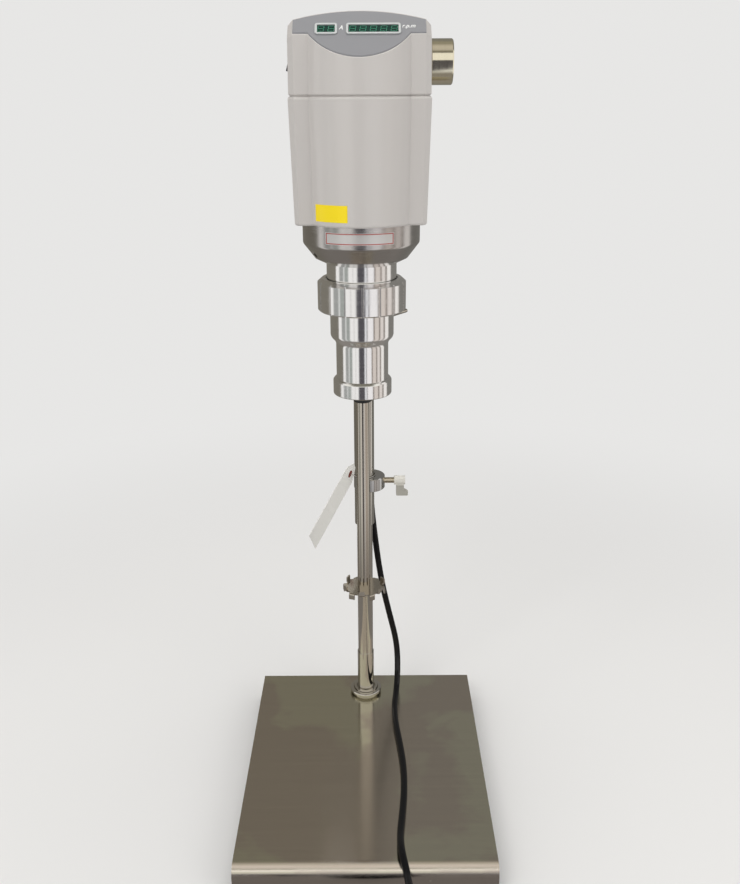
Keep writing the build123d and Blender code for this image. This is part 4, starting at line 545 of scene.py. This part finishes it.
def begin_material(name, centre=(0, 0, 0)):
    """A material whose pattern is centred on the given place; returns it with its tree, shader and place."""
    material = bpy.data.materials.new(name)
    material.use_nodes = True
    tree = material.node_tree
    shader = tree.nodes["Principled BSDF"]
    where = tree.nodes.new("ShaderNodeTexCoord")
    shift = tree.nodes.new("ShaderNodeMapping")
    shift.inputs["Location"].default_value = tuple(-c for c in centre)
    tree.links.new(where.outputs["Object"], shift.inputs["Vector"])
    return material, tree, shader, shift.outputs["Vector"]


def use_group(tree, name, place, **values):
    node = tree.nodes.new("ShaderNodeGroup")
    node.node_tree = GROUPS[name]
    tree.links.new(place, node.inputs["Place"])
    for label, value in values.items():
        node.inputs[label.replace("_", " ")].default_value = value
    return node


def raise_surface(tree, shader, height, distance):
    bump = tree.nodes.new("ShaderNodeBump")
    bump.inputs["Strength"].default_value = 1.0
    bump.inputs["Distance"].default_value = distance
    tree.links.new(height, bump.inputs["Height"])
    tree.links.new(bump.outputs["Normal"], shader.inputs["Normal"])


def skin(name, colour, roughness, pebble=900.0, depth=0.00002, drift=0.05, coat=0.0, specular=0.5, painted_shade_below=None):
    """Moulded or painted skin; an optional (height, colour) gives painted shade of that colour below that
    height.
    """
    material, tree, shader, place = begin_material(name)
    shader.inputs["Specular IOR Level"].default_value = specular
    if painted_shade_below:
        below = maths(tree, "LESS_THAN", split(tree, place)[2], painted_shade_below[0])
        colour = blend_colour(tree, below, colour, painted_shade_below[1])
    grain = use_group(tree, "grain", place, Pebble_size=pebble, Drift=drift)
    tree.links.new(tint(tree, colour, grain.outputs["Shade"]), shader.inputs["Base Color"])
    rough = maths(tree, "ADD", grain.outputs["Gloss"], roughness, clamp=True)
    tree.links.new(rough, shader.inputs["Roughness"])
    shader.inputs["Coat Weight"].default_value = coat
    shader.inputs["Coat Roughness"].default_value = COAT_ROUGHNESS
    raise_surface(tree, shader, grain.outputs["Height"], depth)
    return material


def metal(name, colour, roughness, marks="turned", centre=(0, 0, 0), stretch=(1, 1, 1),
          contrast=0.12, depth=0.00001, upper=None):
    """Turned or drawn metal; upper is (height, colour) of a duller stretch above that height."""
    material, tree, shader, place = begin_material(name, centre)
    if marks == "turned":
        lines = use_group(tree, "turned", place, Rings_per_metre=RINGS_PER_METRE, Contrast=contrast)
    else:
        lines = use_group(tree, "drawn", place, Stretch=stretch, Contrast=contrast)
    film = use_group(tree, "handling", place, Size=11.0)
    rough = maths(tree, "ADD", lines.outputs["Gloss"], roughness)
    if upper:
        above = maths(tree, "GREATER_THAN", split(tree, place)[2], upper[0])
        colour = blend_colour(tree, above, colour, upper[1])
        rough = maths(tree, "MULTIPLY_ADD", above, UPPER_DULLING, rough)
    tree.links.new(tint(tree, colour, lines.outputs["Shade"]), shader.inputs["Base Color"])
    rough = maths(tree, "MULTIPLY_ADD", film.outputs["Film"], METAL_SMEARS, rough, clamp=True)
    tree.links.new(rough, shader.inputs["Roughness"])
    shader.inputs["Metallic"].default_value = 1.0
    raise_surface(tree, shader, lines.outputs["Height"], depth)
    return material


def folded_sheet():
    """The base's satin stainless: fine lines side to side, a painted highlight along the bend, painted shade on
    the front face below it, a wiped film and a few specks.
    """
    material, tree, shader, place = begin_material("satin folded sheet", (0, *BEND_MIDDLE))
    lines = use_group(tree, "drawn", place, Stretch=(24, 2600, 2600), Contrast=0.07)
    film = use_group(tree, "handling", place, Size=8.0)
    clean, smeared, specks = (0.645, 0.62, 0.505), (0.575, 0.515, 0.45), (0.75, 0.74, 0.70)
    wiped = blend_colour(tree, film.outputs["Film"], clean, smeared)
    _, y, z = split(tree, place)
    turn = maths(tree, "ARCTAN2", maths(tree, "MULTIPLY", y, -1), z)
    round_bend = maths(tree, "MULTIPLY", turn, 2 / math.pi)
    # painted highlight: the bend is painted pale, as where it would catch the light from above
    polished = ramp(tree, round_bend, [(0.04, 0), (0.22, 1), (0.48, 1), (0.66, 0)], "EASE")
    wiped = blend_colour(tree, polished, wiped, (1.0, 0.92, 0.84))
    # painted shade: the front face below the bend is painted darker than the top
    painted_front_shade = ramp(tree, round_bend, [(0.50, 0), (0.80, 1)], "EASE")
    wiped = blend_colour(tree, painted_front_shade, wiped, (0.44, 0.40, 0.37))
    colour = tint(tree, wiped, lines.outputs["Shade"])
    colour = blend_colour(tree, maths(tree, "MULTIPLY", film.outputs["Specks"], 0.35), colour, specks)
    tree.links.new(colour, shader.inputs["Base Color"])
    rough = maths(tree, "MULTIPLY_ADD", film.outputs["Film"], 0.05, 0.17)
    rough = maths(tree, "ADD", rough, lines.outputs["Gloss"], clamp=True)
    tree.links.new(rough, shader.inputs["Roughness"])
    shader.inputs["Metallic"].default_value = 1.0
    shader.inputs["Anisotropic"].default_value = 0.9
    brushed = tree.nodes.new("ShaderNodeTangent")
    brushed.direction_type = "RADIAL"
    brushed.axis = "X"
    tree.links.new(brushed.outputs[0], shader.inputs["Tangent"])
    raise_surface(tree, shader, lines.outputs["Height"], 0.000004)
    return material


def panel_finish():
    """Grey film with pale raised frames: whatever stands above the film's face takes the frame colour."""
    material, tree, shader, place = begin_material("grey panel film", SLOPE_FOOT)
    grain = use_group(tree, "grain", place, Pebble_size=2200.0, Drift=0.05)
    _, y, z = split(tree, place)
    back = maths(tree, "MULTIPLY", y, -math.sin(math.radians(SLOPE_ANGLE)))
    above = maths(tree, "MULTIPLY_ADD", z, math.cos(math.radians(SLOPE_ANGLE)), back)
    frame_mask = maths(tree, "GREATER_THAN", above, PANEL_FACE + FRAME_RISE)
    colour = blend_colour(tree, frame_mask, (0.245, 0.247, 0.262), (0.50, 0.52, 0.515))
    tree.links.new(tint(tree, colour, grain.outputs["Shade"]), shader.inputs["Base Color"])
    rough = maths(tree, "ADD", grain.outputs["Gloss"], 0.44, clamp=True)
    tree.links.new(rough, shader.inputs["Roughness"])
    raise_surface(tree, shader, grain.outputs["Height"], 0.000008)
    return material


def window_glass(middle, count):
    """Dark green filter, a touch lighter in the gaps between the characters."""
    material, tree, shader, place = begin_material("green display filter", (middle, 0, 0))
    turn = maths(tree, "MULTIPLY", split(tree, place)[0], 2 * math.pi / CHARACTER_PITCH)
    turn = maths(tree, "ADD", turn, 0.0 if count % 2 else math.pi)
    gap = maths(tree, "MULTIPLY_ADD", maths(tree, "COSINE", turn), -0.5, 0.5)
    between = ramp(tree, gap, [(0.55, 0), (0.95, 1)])
    colour = blend_colour(tree, between, (0.001, 0.024, 0.019), (0.001, 0.034, 0.026))
    grain = use_group(tree, "grain", place, Pebble_size=500.0, Drift=0.2)
    tree.links.new(tint(tree, colour, grain.outputs["Shade"]), shader.inputs["Base Color"])
    shader.inputs["Roughness"].default_value = 0.22
    return material


def segment_finish():
    """The unlit eights, with a painted glow that keeps them just bright enough to be read behind the filter."""
    material, tree, shader, place = begin_material("green display segment")
    grain = use_group(tree, "grain", place, Pebble_size=1500.0, Drift=0.3)
    colour = tint(tree, (0.035, 0.22, 0.13), grain.outputs["Shade"])
    tree.links.new(colour, shader.inputs["Base Color"])
    # painted glow: the unlit segments give off a faint light of their own colour
    tree.links.new(colour, shader.inputs["Emission Color"])
    shader.inputs["Emission Strength"].default_value = 0.25
    shader.inputs["Roughness"].default_value = 0.4
    return material


def sticker(name, ground, low=(0, 0), high=(1, 1), border=None, metal_share=0.0):
    """A sticker, with a thin border line if one is given, worked out from its corners in X and Z."""
    middle = ((low[0] + high[0]) / 2, 0, (low[1] + high[1]) / 2)
    material, tree, shader, place = begin_material(name, middle)
    grain = use_group(tree, "grain", place, Pebble_size=700.0, Drift=0.10)
    colour = ground
    if border:
        x, _, z = split(tree, place)
        half = ((high[0] - low[0]) / 2, (high[1] - low[1]) / 2)
        edge = maths(
            tree, "MINIMUM",
            maths(tree, "SUBTRACT", half[0], maths(tree, "ABSOLUTE", x)),
            maths(tree, "SUBTRACT", half[1], maths(tree, "ABSOLUTE", z)),
        )
        inside = maths(tree, "GREATER_THAN", edge, LABEL_LINE * 0.6)
        ring = maths(tree, "MULTIPLY", inside, maths(tree, "LESS_THAN", edge, LABEL_LINE * 1.6))
        colour = blend_colour(tree, ring, ground, border)
    tree.links.new(tint(tree, colour, grain.outputs["Shade"]), shader.inputs["Base Color"])
    shader.inputs["Metallic"].default_value = metal_share
    shader.inputs["Roughness"].default_value = 0.3
    raise_surface(tree, shader, grain.outputs["Height"], 0.00001)
    return material


def slot_finishes():
    tube = dict(marks="drawn", centre=COLUMN_AXIS, stretch=(1600, 1600, 20), contrast=0.06, depth=0.0000015)
    dull_flange = (FLANGE_LOWER_EDGE, (0.52, 0.50, 0.485))
    return {
        "base_sheet": folded_sheet(),
        "ballast_steel": metal(
            "blacked ballast steel", (0.10, 0.10, 0.11), 0.45, "drawn", stretch=(600, 60, 600),
        ),
        "foot_rubber": skin("foot rubber", (0.022, 0.022, 0.023), 0.62, 1400.0, 0.00004),
        "zinc_steel": metal(
            "bright zinc", (0.60, 0.61, 0.63), 0.30, "drawn", stretch=(500, 500, 500), contrast=0.08,
        ),
        "column_steel": metal("polished column tube", (0.58, 0.555, 0.51), 0.075, **tube),
        "sleeve_steel": metal("polished sleeve tube", (0.52, 0.50, 0.46), 0.09, **tube),
        "collar_steel": metal(
            "plated collar", (0.52, 0.515, 0.51), 0.10, centre=COLUMN_AXIS, contrast=0.05, depth=0.000002,
        ),
        "screw_brass": metal(
            "bright screw", (0.74, 0.66, 0.52), 0.13, "drawn", stretch=(40, 1800, 1800), contrast=0.05,
            depth=0.000002,
        ),
        # painted shade: the lever's arm below LEVER_ARM_TOP is painted darker than its hub
        "lever_plastic": skin(
            "ivory lever plastic", (0.74, 0.72, 0.66), 0.42, 1100.0, 0.00002,
            painted_shade_below=(LEVER_ARM_TOP, (0.42, 0.405, 0.36)),
        ),
        "cover_plastic": skin("moulded cover", (0.570, 0.544, 0.524), 0.34, 1300.0, 0.000012, 0.03, 0.5),
        "panel_film": panel_finish(),
        "display_glass": window_glass(SPEED_MIDDLE, SPEED_CHARACTERS),
        "board": skin("green circuit board", (0.02, 0.16, 0.07), 0.45),
        "black_plastic": skin("black moulding", (0.022, 0.022, 0.024), 0.42, 1200.0),
        "knob_metal": metal(
            "nickel knob", (0.78, 0.73, 0.58), 0.10, "drawn", stretch=(2200, 60, 60), contrast=0.10,
            depth=0.000004,
        ),
        "chassis_aluminium": metal(
            "chassis aluminium", (0.74, 0.74, 0.75), 0.38, "drawn", stretch=(40, 900, 900),
        ),
        "motor_paint": skin("motor paint", (0.10, 0.10, 0.11), 0.5, 700.0, 0.00004),
        "lamination_steel": metal(
            "stacked laminations", (0.34, 0.34, 0.35), 0.42, "drawn", stretch=(20, 20, 1600),
        ),
        "turned_aluminium": metal(
            "turned aluminium", (0.80, 0.79, 0.78), 0.115, centre=SHAFT_AXIS, contrast=0.10, depth=0.000006,
            upper=dull_flange,
        ),
        "bright_steel": metal(
            "bright ground steel", (0.50, 0.46, 0.40), 0.075, centre=SHAFT_AXIS, contrast=0.03,
            depth=0.0000008,
        ),
        "seal_rubber": skin("seal rubber", (0.014, 0.014, 0.015), 0.5, 1200.0),
        "yellow_label": sticker("yellow sticker", (0.96, 0.74, 0.004)),
        "clear_label": sticker(
            "clear sticker", (0.60, 0.585, 0.575), LABEL_LOW, LABEL_HIGH, (0.42, 0.07, 0.06), 0.35,
        ),
        "tag_paper": skin("tag card", (0.88, 0.87, 0.83), 0.72, 600.0, 0.00004),
        "tag_fibre": skin("fibre eyelet", (0.22, 0.055, 0.04), 0.6, 1600.0),
        "tag_wire": metal("tag wire", (0.60, 0.59, 0.56), 0.28, "drawn", stretch=(700, 700, 700)),
        "cord_rubber": skin(
            "black cord sheath", (0.004, 0.004, 0.005), 0.14, 1600.0, 0.000006, 0.15, specular=0.3,
        ),
        "tie_nylon": skin("nylon tie", (0.02, 0.02, 0.02), 0.4, 1000.0),
        "blade_brass": metal("plug blade brass", (0.76, 0.62, 0.34), 0.2, "drawn", stretch=(40, 900, 900)),
    }


def dress_nodes(finishes):
    for part in frame["record"]["subparts"]:
        node = frame["nodes"][part["node"]]
        node.data.materials.clear()
        node.data.materials.append(finishes[part["material_slot"]])


# ---------------------------------------------------------------- display characters and unit marks

def slope_matrix(across, up, lift):
    """Places a flat shape on the display slope: X across, Y up the slope, Z out of it."""
    slope = Matrix.Rotation(math.radians(SLOPE_ANGLE), 4, "X")
    foot = SLOPE_FOOT + slope.to_3x3() @ Vector((across, up, lift))
    return Matrix.Translation(foot) @ slope


def segment_bar(length, thick):
    """One flat hexagonal bar along X, centred on the origin."""
    clear_selection()
    bpy.ops.mesh.primitive_cylinder_add(vertices=6, radius=thick / 2, depth=BAR_DEPTH)
    bar = bpy.context.object
    for v in bar.data.vertices:
        v.co.x += math.copysign(length / 2 - thick / 2, v.co.x) if abs(v.co.x) > thick * 0.01 else 0
    bpy.ops.object.mode_set(mode="EDIT")
    bpy.ops.mesh.select_all(action="SELECT")
    bpy.ops.mesh.bevel(offset=thick * 0.08, segments=1)
    bpy.ops.object.mode_set(mode="OBJECT")
    return bar


def figure_eight(height, width, thick):
    """Seven bars joined into a leaning eight."""
    across = segment_bar(width - thick * 0.9, thick)
    upright = segment_bar(height / 2 - thick * 0.75, thick)
    upright.data.transform(Matrix.Rotation(math.radians(90), 4, "Z"))
    top, side, quarter = height / 2 - thick / 2, width / 2 - thick / 2, height / 4 - thick / 8
    made = []
    for source, places in (
        (across, [(0, top), (0, 0), (0, -top)]),
        (upright, [(sx * side, sy * quarter) for sx in (-1, 1) for sy in (-1, 1)]),
    ):
        for x, y in places:
            copy = copy_piece(source)
            copy.data.transform(Matrix.Translation((x, y, 0)))
            made.append(copy)
        bpy.data.objects.remove(source)
    eight = join_pieces(made)
    eight.data.transform(Matrix(((1, CHARACTER_LEAN, 0, 0), (0, 1, 0, 0), (0, 0, 1, 0), (0, 0, 0, 1))))
    return eight


def set_characters(name, node, middle, count, material):
    """A row of eights just above the highest point of the window's filter."""
    eight = figure_eight(CHARACTER_HEIGHT, CHARACTER_WIDTH, BAR_WIDTH)
    slope = Matrix.Rotation(math.radians(SLOPE_ANGLE), 4, "X").to_3x3()
    filter_points = frame["nodes"][node].data.vertices
    lift = max((slope.inverted() @ (v.co - SLOPE_FOOT)).z for v in filter_points) + PRINT_LIFT
    made = []
    for i in range(count):
        copy = copy_piece(eight)
        across = middle + (i - (count - 1) / 2) * CHARACTER_PITCH
        copy.matrix_world = slope_matrix(across, WINDOW_MIDDLE + CHARACTER_RISE, lift)
        made.append(settle(copy))
    bpy.data.objects.remove(eight)
    return finish_piece(join_pieces(made), name, "head", material)


def unit_mark(name, words, left, low, width, height, material):
    """Italic print on the panel, fitted into the given rectangle of the slope."""
    clear_selection()
    bpy.ops.object.text_add()
    text = bpy.context.object
    text.data.body = words
    text.data.shear = 0.3
    text.data.offset = 0.012
    text.data.extrude = 0.02
    bpy.ops.object.convert(target="MESH")
    text = bpy.context.object
    xs = [v.co.x for v in text.data.vertices]
    ys = [v.co.y for v in text.data.vertices]
    across, up = width / (max(xs) - min(xs)), height / (max(ys) - min(ys))
    fit = Matrix.Diagonal((across, up, PRINT_DEPTH_SCALE, 1))
    text.data.transform(fit @ Matrix.Translation((-min(xs), -min(ys), 0)))
    text.matrix_world = slope_matrix(left, low, PANEL_FACE + PRINT_LIFT)
    settle(text)
    return finish_piece(text, name, "head", material)


# ---------------------------------------------------------------- the whole part

surroundings = studio_surroundings()
aim_camera()
light_room(surroundings)
lay_floor(surroundings)
finishes = slot_finishes()
lay_cord(finishes["cord_rubber"])
dress_nodes(finishes)

frame["nodes"]["current_display"].data.materials[0] = window_glass(CURRENT_MIDDLE, CURRENT_CHARACTERS)
segments = segment_finish()
set_characters("current_characters", "current_display", CURRENT_MIDDLE, CURRENT_CHARACTERS, segments)
set_characters("speed_characters", "speed_display", SPEED_MIDDLE, SPEED_CHARACTERS, segments)
white_print = skin("white print", (0.84, 0.84, 0.83), 0.45, 1500.0)
unit_mark("unit_mark_current", "A", -0.0153, 0.0312, 0.0029, 0.0046, white_print)
unit_mark("unit_mark_speed", "r.p.m", 0.0322, 0.0318, 0.0100, 0.0040, white_print)

bpy.context.scene.view_settings.view_transform = "Standard"
